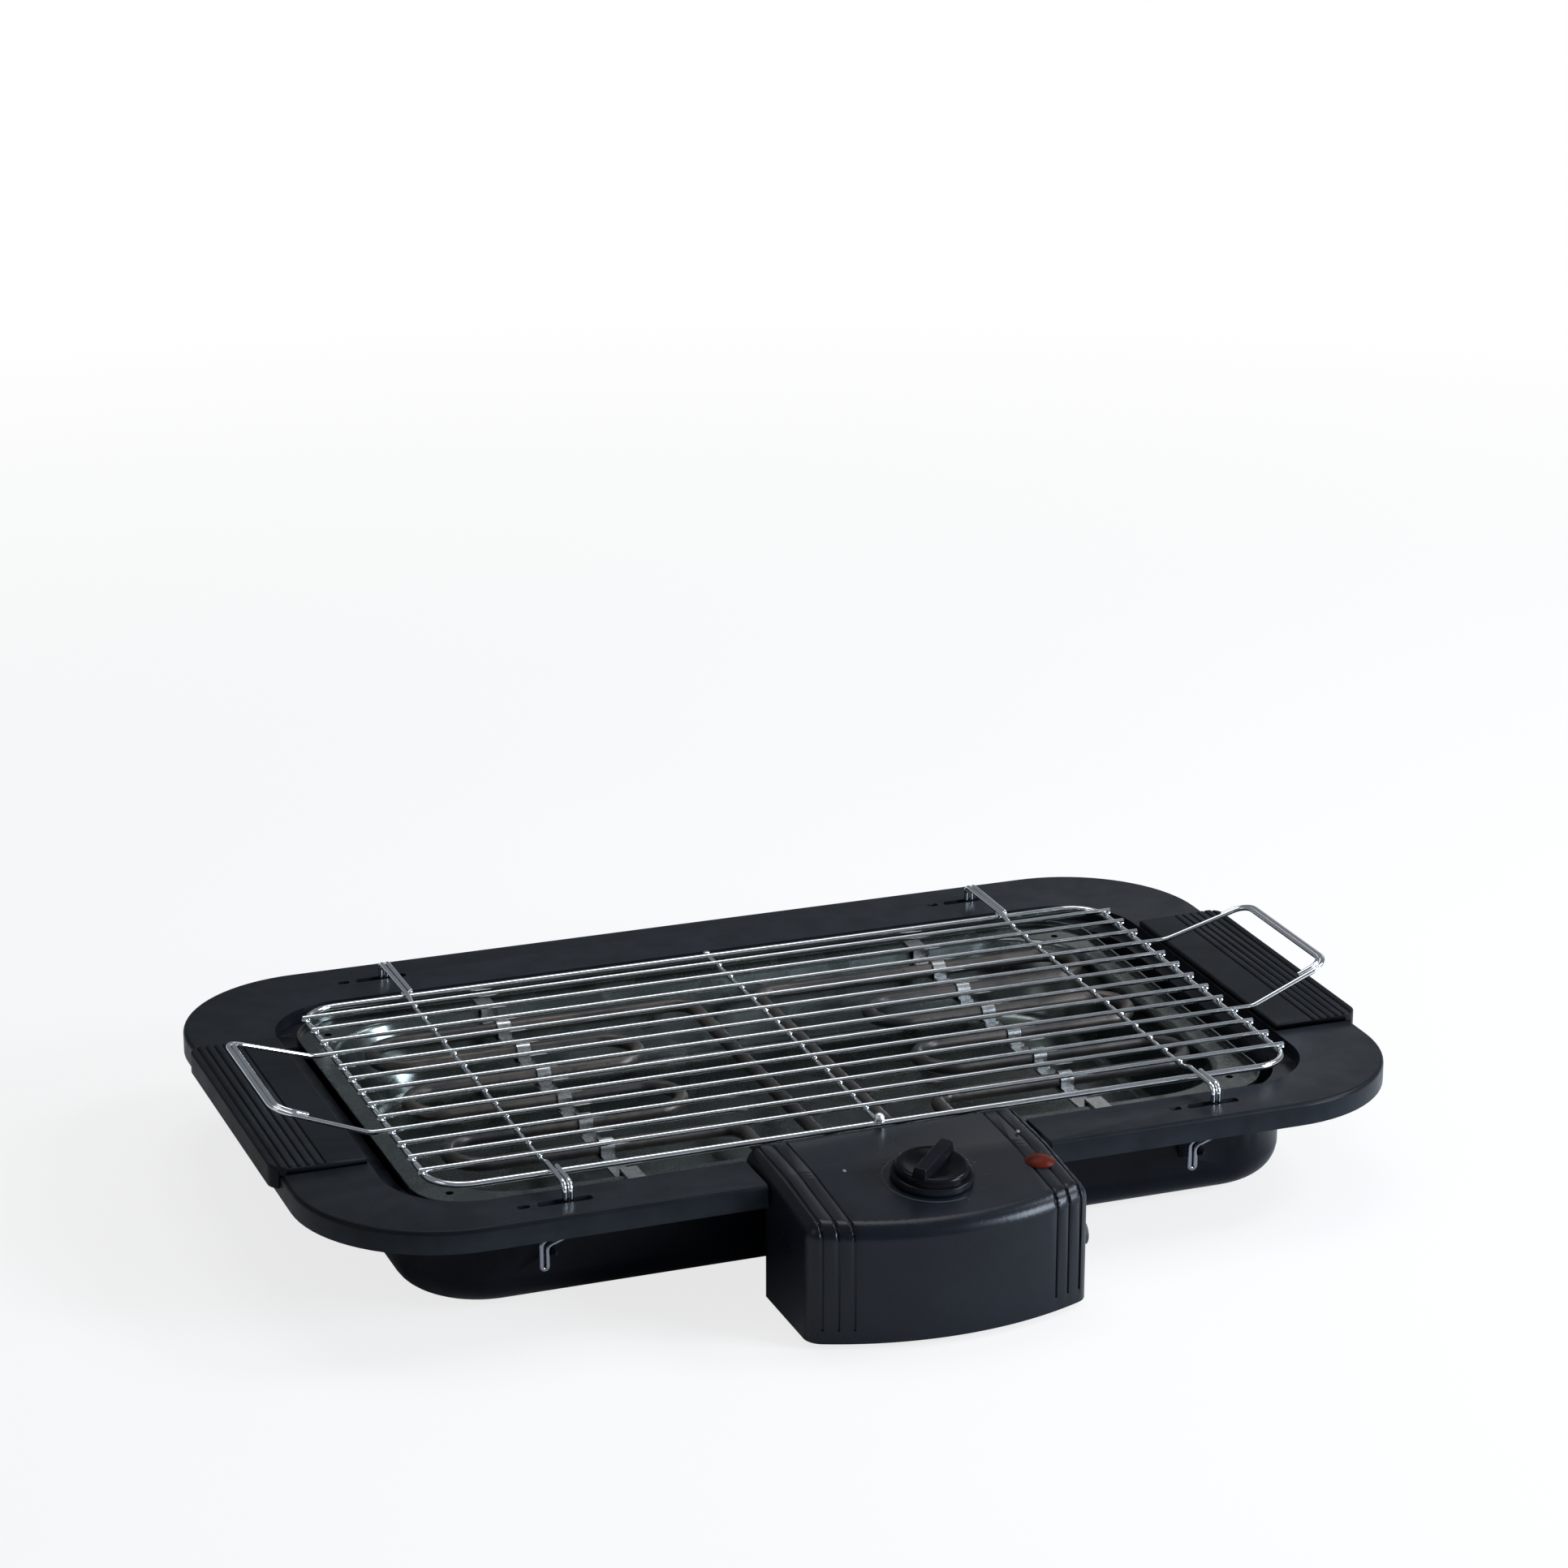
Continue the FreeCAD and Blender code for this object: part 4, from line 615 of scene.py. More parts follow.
@dataclass(frozen=True)
class SpangledZinc:
    """Bright sheet with faint zinc flowers, a grease film and fine scratches."""

    name: str
    light: Rgb = (0.15, 0.17, 0.165)
    dark: Rgb = (0.098, 0.115, 0.109)
    film: Rgb = (0.055, 0.062, 0.052)
    rough: tuple[float, float] = (0.15, 0.22)
    flowers: float = 90.0
    warp: float = 0.03
    grease: float = 0.4
    grease_rough: float = 0.3
    wave_depth: float = 0.3

    def material(self) -> bpy.types.Material:
        """Make the finish.

        Returns:
            The material.
        """
        material, sheet, shader, place = new_material(self.name)
        bent = sheet.add("ShaderNodeTexNoise", Scale=40.0, Detail=3.0)
        sheet.link(place, bent.inputs["Vector"])
        warped = sheet.add("ShaderNodeMix", data_type="VECTOR")
        warped.inputs[0].default_value = self.warp
        sheet.link(place, warped.inputs[4])
        sheet.link(bent.outputs["Color"], warped.inputs[5])
        flowers = sheet.add("ShaderNodeTexVoronoi", feature="F1", Scale=self.flowers)
        sheet.link(warped.outputs[1], flowers.inputs["Vector"])
        shade = sheet.add("ShaderNodeSeparateColor")
        sheet.link(flowers.outputs["Color"], shade.inputs[0])
        dust = DUST.use(sheet, place, Amount=self.grease)
        colour = sheet.blend(shade.outputs[0], self.dark, self.light)
        colour = sheet.blend(dust.outputs["Mask"], colour, self.film)
        sheet.link(colour, shader.inputs["Base Color"])
        scratches = sheet.spread(sheet.noise(place, scale=800.0, detail=3.0), low=0.4, high=0.7, to_high=0.06)
        rough = sheet.calc("ADD", sheet.spread(shade.outputs[1], 0.0, 1.0, *self.rough), scratches)
        film = sheet.calc("MULTIPLY", dust.outputs["Mask"], self.grease_rough)
        sheet.link(sheet.calc("ADD", rough, film), shader.inputs["Roughness"])
        shader.inputs["Metallic"].default_value = 1.0
        bump(sheet, shader, sheet.noise(place, scale=60.0), self.wave_depth, strength=0.35)
        return material


@dataclass(frozen=True)
class HeatedSheath:
    """Dark annealed steel tube with oxide and burnt-on spots."""

    name: str
    colour: Rgb = (0.045, 0.043, 0.043)
    oxide: Rgb = (0.12, 0.10, 0.085)
    burnt: Rgb = (0.02, 0.019, 0.018)
    rough: tuple[float, float] = (0.32, 0.55)
    metal: tuple[float, float] = (0.75, 0.1)
    depth: float = 0.04

    def material(self) -> bpy.types.Material:
        """Make the finish; metal is its share on the bare tube and on a spot.

        Returns:
            The material.
        """
        material, sheet, shader, place = new_material(self.name)
        tint = sheet.spread(sheet.noise(place, scale=22.0, detail=5.0), low=0.4, high=0.7)
        spots = sheet.spread(sheet.noise(place, scale=420.0), low=0.58, high=0.7)
        colour = sheet.blend(tint, self.colour, self.oxide)
        sheet.link(sheet.blend(spots, colour, self.burnt), shader.inputs["Base Color"])
        sheet.link(sheet.spread(sheet.noise(place, scale=300.0), 0.3, 0.7, *self.rough),
                   shader.inputs["Roughness"])
        sheet.link(sheet.spread(spots, 0.0, 1.0, *self.metal), shader.inputs["Metallic"])
        bump(sheet, shader, sheet.noise(place, scale=900.0, detail=3.0), self.depth, strength=0.6)
        return material


@dataclass(frozen=True)
class LampLens:
    """Amber lens over the pilot lamp, with a painted glow: brighter in the middle where the lamp sits."""

    name: str
    centre: Vector
    rim: Rgb = (0.07, 0.008, 0.003)
    middle: Rgb = (0.26, 0.036, 0.005)
    glow: tuple[float, float] = (2.2, 4.2)
    clouding: float = 1.2

    def material(self) -> bpy.types.Material:
        """Make the finish; glow is where the middle's colour starts to fade and ends, in mm.

        Returns:
            The material.
        """
        material, sheet, shader, place = new_material(self.name)
        mapping = sheet.add("ShaderNodeMapping")
        mapping.inputs["Location"].default_value = -self.centre
        sheet.link(place, mapping.inputs["Vector"])
        away = sheet.add("ShaderNodeVectorMath", operation="LENGTH")
        sheet.link(mapping.outputs["Vector"], away.inputs[0])
        ring = sheet.spread(away.outputs["Value"], self.glow[0] * MM, self.glow[1] * MM)
        clouds = sheet.noise(place, scale=500.0, detail=3.0)
        lighter = tuple(channel * self.clouding for channel in self.rim)
        edge = sheet.blend(sheet.spread(clouds, low=0.3, high=0.7), self.rim, lighter)
        # The brighter middle is painted lamp glow in the base colour.
        sheet.link(sheet.blend(ring, self.middle, edge), shader.inputs["Base Color"])
        sheet.link(sheet.spread(clouds, 0.3, 0.7, to_low=0.3, to_high=0.4), shader.inputs["Roughness"])
        shader.inputs["Specular IOR Level"].default_value = 0.07
        return material


@dataclass(frozen=True)
class SoftRubber:
    """Matt rubber with a bloom of fine dust."""

    name: str
    colour: Rgb = (0.018, 0.018, 0.019)
    bloom: Rgb = (0.06, 0.058, 0.055)
    rough: tuple[float, float] = (0.62, 0.8)
    depth: float = 0.06

    def material(self) -> bpy.types.Material:
        """Make the finish.

        Returns:
            The material.
        """
        material, sheet, shader, place = new_material(self.name)
        grain = GRAIN.use(sheet, place, Scale=1500.0)
        clouds = sheet.spread(sheet.noise(place, scale=120.0, detail=5.0), low=0.4, high=0.75)
        sheet.link(sheet.blend(clouds, self.colour, self.bloom), shader.inputs["Base Color"])
        sheet.link(sheet.spread(clouds, 0.0, 1.0, *self.rough), shader.inputs["Roughness"])
        bump(sheet, shader, grain.outputs["Height"], self.depth, strength=0.6)
        return material


@dataclass(frozen=True)
class StageFloor:
    """Pale floor that is white to the camera, keeps the shadow and turns all white further out."""

    name: str = "stage_floor"
    white_share: float = 0.78
    near: float = 0.6
    far: float = 1.8
    tones: tuple[Rgb, Rgb] = ((0.8, 0.8, 0.8), (0.84, 0.84, 0.84))

    def material(self) -> bpy.types.Material:
        """Make the floor's finish; near and far are where the white starts to close in and ends, in metres.

        Returns:
            The material.
        """
        material, sheet, shader, place = new_material(self.name)
        sheet.link(sheet.blend(sheet.noise(place, scale=3.0, detail=2.0), *self.tones),
                   shader.inputs["Base Color"])
        shader.inputs["Roughness"].default_value = 0.9
        glow = sheet.add("ShaderNodeEmission", Strength=1.0)
        rays = sheet.add("ShaderNodeLightPath")
        seen = sheet.calc("MAXIMUM", rays.outputs["Is Camera Ray"], rays.outputs["Is Transmission Ray"])
        mix = sheet.add("ShaderNodeMixShader")
        away = sheet.add("ShaderNodeVectorMath", operation="LENGTH")
        sheet.link(place, away.inputs[0])
        share = sheet.spread(away.outputs["Value"], self.near, self.far, self.white_share, 1.0)
        sheet.link(sheet.calc("MULTIPLY", seen, share), mix.inputs[0])
        sheet.link(shader.outputs[0], mix.inputs[1])
        sheet.link(glow.outputs[0], mix.inputs[2])
        sheet.link(mix.outputs[0], material.node_tree.nodes["Material Output"].inputs["Surface"])
        return material


# ---- sub-assemblies ---------------------------------------------------------------
@dataclass(frozen=True)
class Roof:
    """The sloping top of the control unit, in mm."""

    knob: tuple[float, float] = (2.5, -149.25)
    height: float = 59.6688
    slope: float = 6.5

    def place(self, x: float, y: float, lift: float = 0.0) -> Matrix:
        """Return the place of a detail that stands on the top.

        Args:
            x: place across the unit.
            y: place along the unit.
            lift: height over the top.

        Returns:
            Its matrix, in metres.
        """
        angle = math.radians(self.slope)
        point = Vector((x, y, self.height + (y - self.knob[1]) * math.tan(angle)))
        raised = point + Vector((0.0, -math.sin(angle), math.cos(angle))) * lift
        return Matrix.Translation(raised * MM) @ Matrix.Rotation(angle, 4, "X")


ROOF = Roof()


@dataclass
class Assembly:
    """A group of pieces that are built and dressed together."""

    body: Body

    def refine_all(self, material: bpy.types.Material, *nodes: str, angle: float = 35.0) -> None:
        """Replace each CAD node by a merged copy with smooth curves.

        Args:
            material: their finish.
            *nodes: names of the nodes.
            angle: the sharpest edge that is smoothed, in degrees.
        """
        for node in nodes:
            obj = bpy.data.objects.new(node + "_made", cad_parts[node].data.copy())
            bpy.context.scene.collection.objects.link(obj)
            in_edit(obj, lambda: bpy.ops.mesh.remove_doubles(threshold=MESH_MERGE))
            even_out(obj, angle)
            self.keep(obj, material, node)

    def keep(self, obj: bpy.types.Object, material: bpy.types.Material, *nodes: str) -> None:
        """Dress a piece, let it ride on its body and let it stand for its nodes.

        Args:
            obj: the piece.
            material: its finish.
            *nodes: the CAD nodes that it replaces.
        """
        obj.data.materials.clear()
        obj.data.materials.append(material)
        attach(obj, self.body.value)
        if nodes:
            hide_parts(*nodes)
        log.info("%s: %d faces, %s", obj.name, len(obj.data.polygons), material.name)


@dataclass
class Shell(Assembly):
    """The lower body, the rim over it, the grips and the feet."""

    body: Body = Body.BASE

    def build(self) -> None:
        """Build and dress the shell."""
        wall = MouldedPlastic("body_plastic", (0.0024, 0.003, 0.005), rough=(0.26, 0.34), shine=0.1)
        rim = MouldedPlastic("rim_plastic", (0.0046, 0.006, 0.0078), rough=(0.34, 0.42), shine=0.105,
                             dusty=0.2)
        grip = MouldedPlastic("grip_plastic", (0.0058, 0.007, 0.0082), rough=(0.42, 0.5), grain=1300.0)
        steel = BrightMetal("screw_steel", (0.5, 0.5, 0.51), rough=(0.25, 0.4))
        self.refine_all(wall.material(), "lower_body")
        self.refine_all(rim.material(), "rim_frame")
        self.refine_all(grip.material(), "left_grip", "right_grip")
        self.refine_all(steel.material(), "rim_screws", "grip_screws")
        self.refine_all(SoftRubber("foot_rubber").material(), "rubber_feet")


@dataclass
class DripTray(Assembly):
    """The lift-out sheet tray, pressed ring by ring from its lip to its bottom, in mm."""

    body: Body = Body.TRAY
    low: tuple[float, float] = (-205.5, -95.24)
    high: tuple[float, float] = (195.5, 139.75)
    sheet: float = 0.8
    flange_z: float = 51.8
    bottom_z: float = 17.8
    lip: float = 2.4
    flange: float = 12.0
    taper: float = 14.0
    rim_corner: float = 27.2
    basin_corner: float = 39.2
    corner_steps: int = 14
    lip_bend: tuple[tuple[float, float], ...] = ((0.0, 0.7), (0.2, 0.2), (0.7, 0.0))
    mouth_bend: float = 3.0
    mouth_steps: int = 4
    foot_bend: float = 6.0
    foot_steps: int = 5
    lip_gap: tuple[float, float] = (-63.0, 66.0)
    gap_size: tuple[float, float] = (4.0, 3.0)
    holes: tuple[tuple[float, float], ...] = ((-189.5, -75.24), (179.5, -75.24), (-189.5, 119.75),
                                              (179.5, 119.75))
    hole_radius: float = 1.8
    drill_length: float = 3.2

    def build(self) -> None:
        """Build and dress the tray."""
        stations = self.stations()
        strips = [self.strip(*pair) for pair in zip(stations, stations[1:])]
        tray = join(strips + [self.ring(*stations[-1], filled=True)], "drip_tray_made")
        in_edit(tray, close_seams)
        if max(tray.data.polygons, key=lambda face: face.area).normal.z < 0.0:
            in_edit(tray, bpy.ops.mesh.flip_normals)
        apply_modifier(tray, "SOLIDIFY", thickness=self.sheet * MM, offset=-1.0, use_even_offset=True)
        cutter = self.cutter()
        apply_modifier(tray, "BOOLEAN", object=cutter, operation="DIFFERENCE", solver="EXACT")
        bpy.data.objects.remove(cutter)
        even_out(tray)
        self.keep(tray, SpangledZinc("tray_zinc").material(), "drip_tray")

    def stations(self) -> list[Point]:
        """Work out the rings that the tray is pressed by, from the lip to the bottom.

        Returns:
            Inset, height and corner radius of each ring.
        """
        edge, mouth = self.sheet, self.flange + self.sheet
        foot = mouth + self.taper
        turn = math.atan2(self.flange_z - self.bottom_z, self.taper)
        rings = [(edge, self.flange_z + self.lip, self.rim_corner)]
        rings += [(edge + inward, self.flange_z + upward, self.rim_corner - inward)
                  for inward, upward in self.lip_bend]
        start = mouth - self.mouth_bend * math.tan(turn / 2.0)
        for index in range(self.mouth_steps + 1):
            angle = turn * index / self.mouth_steps
            inset = start + self.mouth_bend * math.sin(angle)
            rings.append((inset, self.flange_z - self.mouth_bend + self.mouth_bend * math.cos(angle),
                          self.basin_corner + max(0.0, mouth - inset)))
        end = foot + self.foot_bend * math.tan(turn / 2.0)
        for index in range(self.foot_steps + 1):
            angle = turn * (1.0 - index / self.foot_steps)
            inset = end - self.foot_bend * math.sin(angle)
            rings.append((inset, self.bottom_z + self.foot_bend - self.foot_bend * math.cos(angle),
                          self.basin_corner - max(0.0, inset - foot)))
        return rings

    def ring(self, inset: float, z: float, radius: float, filled: bool = False) -> bpy.types.Object:
        """Return the tray's round-cornered outline at one height.

        Args:
            inset: distance in from the outer edge.
            z: its height.
            radius: radius of its corners.
            filled: keep the face inside it.

        Returns:
            The outline.
        """
        low, high = Vector((*self.low, z)), Vector((*self.high, z))
        deselect()
        bpy.ops.mesh.primitive_plane_add(size=MM, location=(low + high) / 2.0 * MM)
        loop = bpy.context.object
        loop.scale = (high.x - low.x - 2.0 * inset, high.y - low.y - 2.0 * inset, 1.0)
        settle(loop)

        def trim() -> None:
            """Round the corners and clear the face unless it is wanted."""
            bpy.ops.mesh.bevel(offset=radius * MM, segments=self.corner_steps, affect="VERTICES",
                               clamp_overlap=False)
            if not filled:
                bpy.ops.mesh.select_all(action="SELECT")
                bpy.ops.mesh.delete(type="ONLY_FACE")

        in_edit(loop, trim)
        return loop

    def strip(self, first: Point, second: Point) -> bpy.types.Object:
        """Return the sheet between two rings.

        Args:
            first: inset, height and radius of one ring.
            second: the same for the next ring.

        Returns:
            The strip.
        """
        strip = join([self.ring(*first), self.ring(*second)], "tray_strip")
        in_edit(strip, bpy.ops.mesh.bridge_edge_loops)
        return strip

    def cutter(self) -> bpy.types.Object:
        """Model what is cut out: the flange's four holes and the lip under the control unit.

        Returns:
            The cutter.
        """
        left, right = self.lip_gap
        deep, high = self.gap_size
        deselect()
        bpy.ops.mesh.primitive_cylinder_add(vertices=24, radius=self.hole_radius * MM,
                                            depth=self.drill_length * MM)
        drill = bpy.context.object
        drills = repeat(drill, [shift(x, y, self.flange_z) for x, y in self.holes], "tray_drills")
        gap = block((right - left, deep, high),
                    ((left + right) / 2.0, self.low[1], self.flange_z + high / 2.0))
        return join([drills, gap], "tray_cutter")


@dataclass
class HeatingElement(Assembly):
    """The two bent tubes, their brackets, straps and pins."""

    body: Body = Body.UNIT

    def build(self) -> None:
        """Build and dress the element."""
        sheath = HeatedSheath("element_sheath").material()
        zinc = BrightMetal("strap_zinc", (0.5, 0.51, 0.51), rough=(0.2, 0.32)).material()
        pin = BrightMetal("pin_steel", (0.45, 0.44, 0.42), rough=(0.3, 0.4)).material()
        for side in ("left", "right"):
            self.refine_all(sheath, f"element_tube_{side}")
            self.refine_all(zinc, f"element_bracket_{side}")
        self.refine_all(zinc, "element_straps", "element_saddles")
        self.refine_all(pin, "element_pins")


@dataclass
class ControlUnit(Assembly):
    """The control unit with its inner parts."""

    body: Body = Body.UNIT
    pips: tuple[tuple[float, float], ...] = ((-31.7, -133.8), (53.7, -123.0))
    pip_radius: float = 0.9
    pip_flat: float = 0.7
    dial_radius: float = 21.4
    dial_line: Point = (0.5, 0.3, 0.1)
    dial_start: float = -70.0
    dial_sweep: float = 230.0
    dial_steps: int = 56
    ticks: int = 9
    tick_out: float = 1.6
    tick_line: Point = (2.0, 0.4, 0.1)

    def build(self) -> None:
        """Build and dress the unit."""
        self.build_shell()
        self.build_inside()
        self.build_marks()

    def build_shell(self) -> None:
        """Build and dress the housing, its cover, lens and gland."""
        housing = MouldedPlastic("unit_plastic", (0.004, 0.0055, 0.0088), rough=(0.27, 0.32), shine=0.24,
                                 wear_and_highlight=0.0, dusty=0.03)
        steel = BrightMetal("cover_screw_steel", (0.5, 0.5, 0.51), rough=(0.25, 0.4))
        low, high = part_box("pilot_lens")
        lens = LampLens("lens_amber", (Vector(low) + Vector(high)) / 2.0)
        self.refine_all(housing.material(), "unit_housing")
        self.refine_all(MouldedPlastic("cover_plastic", rough=(0.5, 0.6)).material(), "unit_cover")
        self.refine_all(steel.material(), "cover_screws")
        self.refine_all(SoftRubber("gland_rubber").material(), "cord_gland")
        self.refine_all(lens.material(), "pilot_lens")

    def build_inside(self) -> None:
        """Build and dress the parts inside the housing."""
        white = MouldedPlastic("terminal_plastic", (0.42, 0.4, 0.36), rubbed_and_highlight=(0.5, 0.48, 0.42),
                               dust=(0.4, 0.38, 0.33), shine=0.5)
        phenolic = MouldedPlastic("thermostat_phenolic", (0.035, 0.025, 0.018))
        zinc = BrightMetal("plate_zinc", (0.66, 0.67, 0.68), rough=(0.22, 0.34))
        glass = MouldedPlastic("lamp_glass", (0.3, 0.12, 0.06), coat=0.8)
        black = MouldedPlastic("switch_plastic", (0.02, 0.02, 0.022))
        self.refine_all(white.material(), "terminal_block")
        self.refine_all(zinc.material(), "mount_plate")
        self.refine_all(phenolic.material(), "thermostat")
        self.refine_all(glass.material(), "pilot_lamp")
        self.refine_all(black.material(), "safety_switch")

    def build_marks(self) -> None:
        """Model the two moulded pips and the printed dial round the knob."""
        grey = MouldedPlastic("dial_print", (0.045, 0.05, 0.057), rubbed_and_highlight=(0.06, 0.066, 0.075),
                              rough=(0.4, 0.5), wear_and_highlight=0.1)
        pale = MouldedPlastic("pip_plastic", (0.2, 0.21, 0.22), rubbed_and_highlight=(0.3, 0.3, 0.3), rough=(0.3, 0.4))
        deselect()
        bpy.ops.mesh.primitive_uv_sphere_add(segments=20, ring_count=12, radius=self.pip_radius * MM)
        dome = bpy.context.object
        in_edit(dome, lambda: bpy.ops.transform.resize(value=(1.0, 1.0, self.pip_flat)))
        smooth(dome)
        self.keep(repeat(dome, [ROOF.place(x, y) for x, y in self.pips], "unit_pips"), pale.material())
        self.keep(self.dial(), grey.material())

    def dial(self) -> bpy.types.Object:
        """Model the dial: an arc that a thin strip is spun into, and ticks along it.

        Returns:
            The dial, on the sloping top.
        """
        sweep = math.radians(self.dial_sweep)
        arc = block(self.dial_line, (self.dial_radius, 0.0, self.dial_line[2] / 2.0))

        def spin() -> None:
            """Spin the strip's end into the arc."""
            bpy.ops.mesh.spin(steps=self.dial_steps, angle=sweep, center=(0.0, 0.0, 0.0), axis=UP)
            bpy.ops.mesh.select_all(action="SELECT")
            close_seams()

        in_faces(arc, Vector((0.0, 1.0, 0.0)), spin)
        tick = block(self.tick_line, (self.dial_radius + self.tick_out, 0.0, self.tick_line[2] / 2.0))
        soften(tick, 0.04)
        step = sweep / (self.ticks - 1)
        turns = [Matrix.Rotation(index * step, 4, "Z") for index in range(self.ticks)]
        dial = join([arc, repeat(tick, turns, "dial_ticks")], "unit_dial")
        dial.data.transform(ROOF.place(*ROOF.knob) @ Matrix.Rotation(math.radians(self.dial_start), 4, "Z"))
        return dial


@dataclass
class Knob(Assembly):
    """The control knob, made of a skirt, a scooped round part and a pointer ridge, and its shaft."""

    body: Body = Body.KNOB
    radius: float = 18.0
    skirt: float = 2.4
    lift: float = 0.6
    turn: float = 45.0
    rings: tuple[tuple[float, float], ...] = ((0.35, 0.3), (0.45, 0.2), (0.7, 0.05), (0.25, 1.6), (0.3, 1.2),
                                              (0.5, 0.5), (0.7, 0.3), (1.0, 0.12), (1.6, -0.25), (2.6, -0.55),
                                              (3.4, -0.4))
    ridge: Point = (32.4, 8.6, 9.4)
    ridge_sunk: float = 0.6
    ridge_top: Point = (0.93, 0.66, 1.0)
    ridge_round: float = 1.0

    def build(self) -> None:
        """Build and dress the knob."""
        gloss = MouldedPlastic("knob_gloss", (0.0024, 0.0026, 0.0033), rough=(0.17, 0.23), depth=0.008,
                               dusty=0.02, coat=0.03, shine=0.065)
        brass = BrightMetal("shaft_brass", (0.72, 0.55, 0.28), (0.4, 0.28, 0.14))
        knob = join([self.round_part(), self.pointer()], "knob_made")
        turn = Matrix.Rotation(math.radians(self.turn), 4, "Z")
        knob.data.transform(ROOF.place(*ROOF.knob, self.lift) @ turn)
        self.keep(knob, gloss.material(), "control_knob")
        self.refine_all(brass.material(), "thermostat_shaft")

    def round_part(self) -> bpy.types.Object:
        """Model the skirt and the round part from a disc whose top is inset and raised ring by ring.

        Returns:
            The round part about the origin.
        """
        deselect()
        bpy.ops.mesh.primitive_cylinder_add(vertices=96, radius=self.radius * MM, depth=self.skirt * MM,
                                            location=(0.0, 0.0, self.skirt * MM / 2.0))
        disc = bpy.context.object
        settle(disc)

        def raise_rings() -> None:
            """Inset the top and move it up or down, ring by ring."""
            for inward, upward in self.rings:
                bpy.ops.mesh.inset(thickness=inward * MM, depth=0.0)
                bpy.ops.transform.translate(value=(0.0, 0.0, upward * MM))

        in_faces(disc, UP, raise_rings)
        smooth(disc, 50.0)
        return disc

    def pointer(self) -> bpy.types.Object:
        """Model the pointer ridge from a block with a narrowed top and rounded edges.

        Returns:
            The ridge about the origin, along X.
        """
        ridge = block(self.ridge, (0.0, 0.0, self.skirt * self.ridge_sunk + self.ridge[2] / 2.0))
        in_faces(ridge, UP, lambda: bpy.ops.transform.resize(value=self.ridge_top))
        soften(ridge, self.ridge_round, segments=4, angle=30.0)
        return ridge


@dataclass
class Plunger(Assembly):
    """The safety switch's plunger."""

    body: Body = Body.PLUNGER

    def build(self) -> None:
        """Build and dress the plunger."""
        self.refine_all(MouldedPlastic("plunger_plastic", (0.35, 0.05, 0.03)).material(), "switch_plunger")


@dataclass
class CookingGrid(Assembly):
    """The wire grid with its handles, feet and welds."""

    body: Body = Body.GRID
    rows: int = 13
    pitch: float = 15.7
    middle_y: float = 14.75
    contact_z: float = 64.9
    cross_x: tuple[float, ...] = (-150.45, 0.0, 152.15)
    frame_half: tuple[float, float] = (203.0, 111.4)
    corner: float = 17.0
    weld: Point = (1.7, 1.7, 0.8)
    bead: Point = (2.4, 2.4, 2.5)
    bead_in: float = 1.2
    bead_z: float = 66.0
    foot_painted_shade_z: tuple[float, float] = (41.0, 47.0)

    def build(self) -> None:
        """Build and dress the grid."""
        wire = BrightMetal("wire_chrome", (0.8, 0.815, 0.83), rough=(0.06, 0.14), stained=0.25)
        # The foot wires get painted shade low down, where they hang below the rim.
        foot = replace(wire, name="foot_chrome", painted_shade_z=self.foot_painted_shade_z)
        # The tip bead's pale rough metal is a painted glint on the wire's end.
        glint_metal = BrightMetal("tip_painted_glint", (0.93, 0.94, 0.95), rough=(0.3, 0.4), stained=0.1)
        chrome = wire.material()
        self.refine_all(chrome, "grid_frame", "grid_long_wires", "grid_handle_wire_front",
                        "grid_handle_wire_back", "grid_centre_wire", angle=50.0)
        self.refine_all(foot.material(), "grid_foot_wire_left", "grid_foot_wire_right", angle=50.0)
        self.keep(self.welds(), chrome)
        self.keep(self.tip(), glint_metal.material())

    def welds(self) -> bpy.types.Object:
        """Model the resistance welds where the wires cross.

        Returns:
            All the welds as one piece.
        """
        half_x, half_y = self.frame_half
        places = []
        for row in range(self.rows):
            across = (row - (self.rows - 1) / 2.0) * self.pitch
            past = max(0.0, abs(across) - (half_y - self.corner))
            end = half_x - self.corner + math.sqrt(self.corner ** 2 - past ** 2)
            places += [(x, across + self.middle_y, self.contact_z) for x in (-end, *self.cross_x, end)]
        places += [(x, side * half_y + self.middle_y, self.contact_z)
                   for x in self.cross_x for side in (-1, 1)]
        deselect()
        bpy.ops.mesh.primitive_ico_sphere_add(subdivisions=2, radius=MM)
        drop = bpy.context.object
        in_edit(drop, lambda: bpy.ops.transform.resize(value=self.weld))
        smooth(drop, 60.0)
        return repeat(drop, [shift(*place) for place in places], "grid_welds")

    def tip(self) -> bpy.types.Object:
        """Model the bead on the centre wire's front end, whose pale rough metal is a painted glint.

        Returns:
            The bead.
        """
        deselect()
        bpy.ops.mesh.primitive_uv_sphere_add(segments=24, ring_count=14, radius=MM)
        bead = bpy.context.object
        in_edit(bead, lambda: bpy.ops.transform.resize(value=self.bead))
        smooth(bead, 60.0)
        front = self.middle_y - self.frame_half[1] + self.bead_in
        return repeat(bead, [shift(0.0, front, self.bead_z)], "grid_tip")


# ---- stage ------------------------------------------------------------------------
@dataclass(frozen=True)
class Lamp:
    """A soft rectangular lamp: sides and places in metres, power in watts."""

    name: str
    size: tuple[float, float]
    power: float
    place: Point
    target: Point = (0.0, 0.0, 0.05)
    colour: Rgb = (1.0, 1.0, 1.0)

    def hang(self) -> None:
        """Add the lamp, facing its target."""
        data = bpy.data.lights.new(self.name, "AREA")
        data.shape, data.size, data.size_y, data.energy = "RECTANGLE", *self.size, self.power
        data.color = self.colour
        obj = bpy.data.objects.new(self.name, data)
        bpy.context.scene.collection.objects.link(obj)
        obj.location = self.place
        obj.rotation_euler = (Vector(self.target) - Vector(self.place)).to_track_quat("-Z", "Y").to_euler()


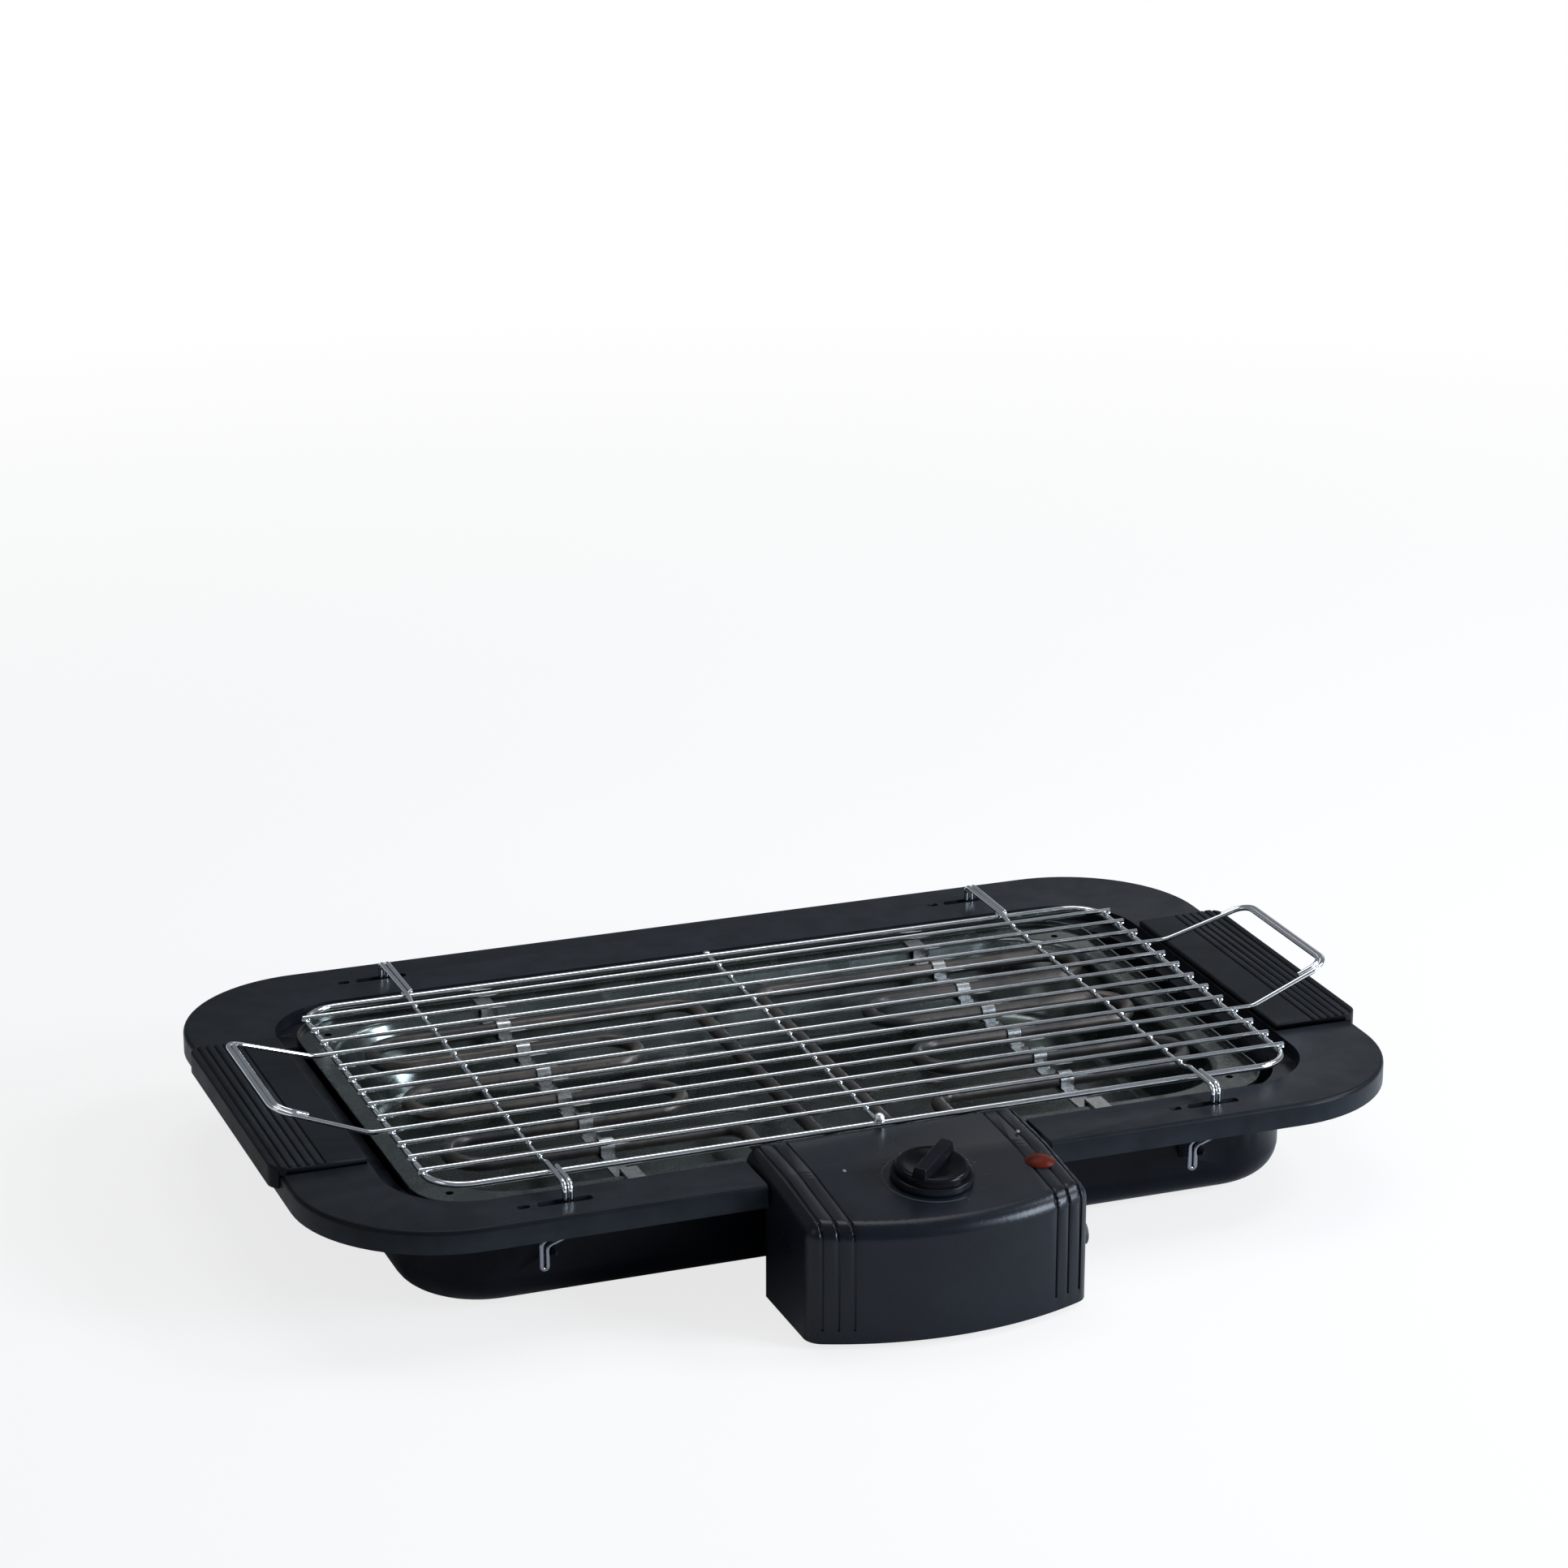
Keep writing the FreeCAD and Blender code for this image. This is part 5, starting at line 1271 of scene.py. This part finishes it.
@dataclass
class Studio:
    """Floor, lamps, world and camera."""

    azimuth: float = -20.793
    elevation: float = 18.562
    lens: float = 104.57
    camera_at: Point = (-690.57, -1796.86, 836.17)
    floor_size: float = 9.0
    floor_y: float = 2.0
    room_colour: Rgb = (0.82, 0.9, 1.0)
    room_strength: float = 0.22
    lamps: tuple[Lamp, ...] = (
        Lamp("top_light", (1.2, 0.8), 9.0, (0.15, 0.5, 1.7)),
        Lamp("left_light", (0.8, 0.8), 2.0, (-1.7, -0.3, 1.0)),
        Lamp("side_light", (0.5, 0.5), 14.0, (1.35, -0.2, 1.25), (0.0, -0.1, 0.05), (0.85, 0.92, 1.0)),
        Lamp("back_light", (1.0, 0.7), 1.2, (1.3, 1.5, 0.95), (0.1, 0.0, 0.05), (1.0, 0.96, 0.95)),
        Lamp("right_light", (0.8, 0.9), 58.0, (1.6, -1.4, 0.8), (0.05, -0.1, 0.03), (0.76, 0.87, 1.0)))

    def build(self) -> None:
        """Build the stage."""
        self.build_floor()
        for lamp in self.lamps:
            lamp.hang()
        self.build_world()
        self.build_camera()

    def build_floor(self) -> None:
        """Build the pale floor."""
        deselect()
        bpy.ops.mesh.primitive_plane_add(size=self.floor_size, location=(0.0, self.floor_y, 0.0))
        floor = bpy.context.object
        floor.name = "floor"
        settle(floor)
        floor.data.materials.append(StageFloor().material())

    def build_world(self) -> None:
        """Build the room's light, which the camera sees as white."""
        world = bpy.data.worlds.new("room")
        bpy.context.scene.world = world
        world.use_nodes = True
        sheet = Sheet(world.node_tree)
        room = world.node_tree.nodes["Background"]
        room.inputs["Color"].default_value = (*self.room_colour, 1.0)
        room.inputs["Strength"].default_value = self.room_strength
        white = sheet.add("ShaderNodeBackground", Color=(1.0, 1.0, 1.0, 1.0), Strength=1.0)
        rays = sheet.add("ShaderNodeLightPath")
        mix = sheet.add("ShaderNodeMixShader")
        sheet.link(rays.outputs["Is Camera Ray"], mix.inputs[0])
        sheet.link(room.outputs[0], mix.inputs[1])
        sheet.link(white.outputs[0], mix.inputs[2])
        sheet.link(mix.outputs[0], world.node_tree.nodes["World Output"].inputs["Surface"])

    def build_camera(self) -> None:
        """Build the camera."""
        azimuth, elevation = math.radians(self.azimuth), math.radians(self.elevation)
        right = Vector((math.cos(azimuth), math.sin(azimuth), 0.0))
        forward = Vector((-math.sin(azimuth) * math.cos(elevation), math.cos(azimuth) * math.cos(elevation),
                          -math.sin(elevation)))
        up = right.cross(forward)
        data = bpy.data.cameras.new("camera")
        data.lens, data.sensor_width = self.lens, 36.0
        data.clip_end = 50.0
        obj = bpy.data.objects.new("camera", data)
        bpy.context.scene.collection.objects.link(obj)
        turn = Matrix((right, up, -forward)).transposed().to_4x4()
        obj.matrix_world = Matrix.Translation(Vector(self.camera_at) * MM) @ turn
        bpy.context.scene.camera = obj


def main() -> None:
    """Build every sub-assembly and the stage."""
    logging.basicConfig(level=logging.INFO, format="%(name)s %(message)s")
    bpy.context.scene.view_settings.view_transform = "Standard"
    for assembly in (Shell(), DripTray(), HeatingElement(), ControlUnit(), Knob(), Plunger(), CookingGrid()):
        assembly.build()
    Studio().build()


if __name__ == "__main__":
    main()
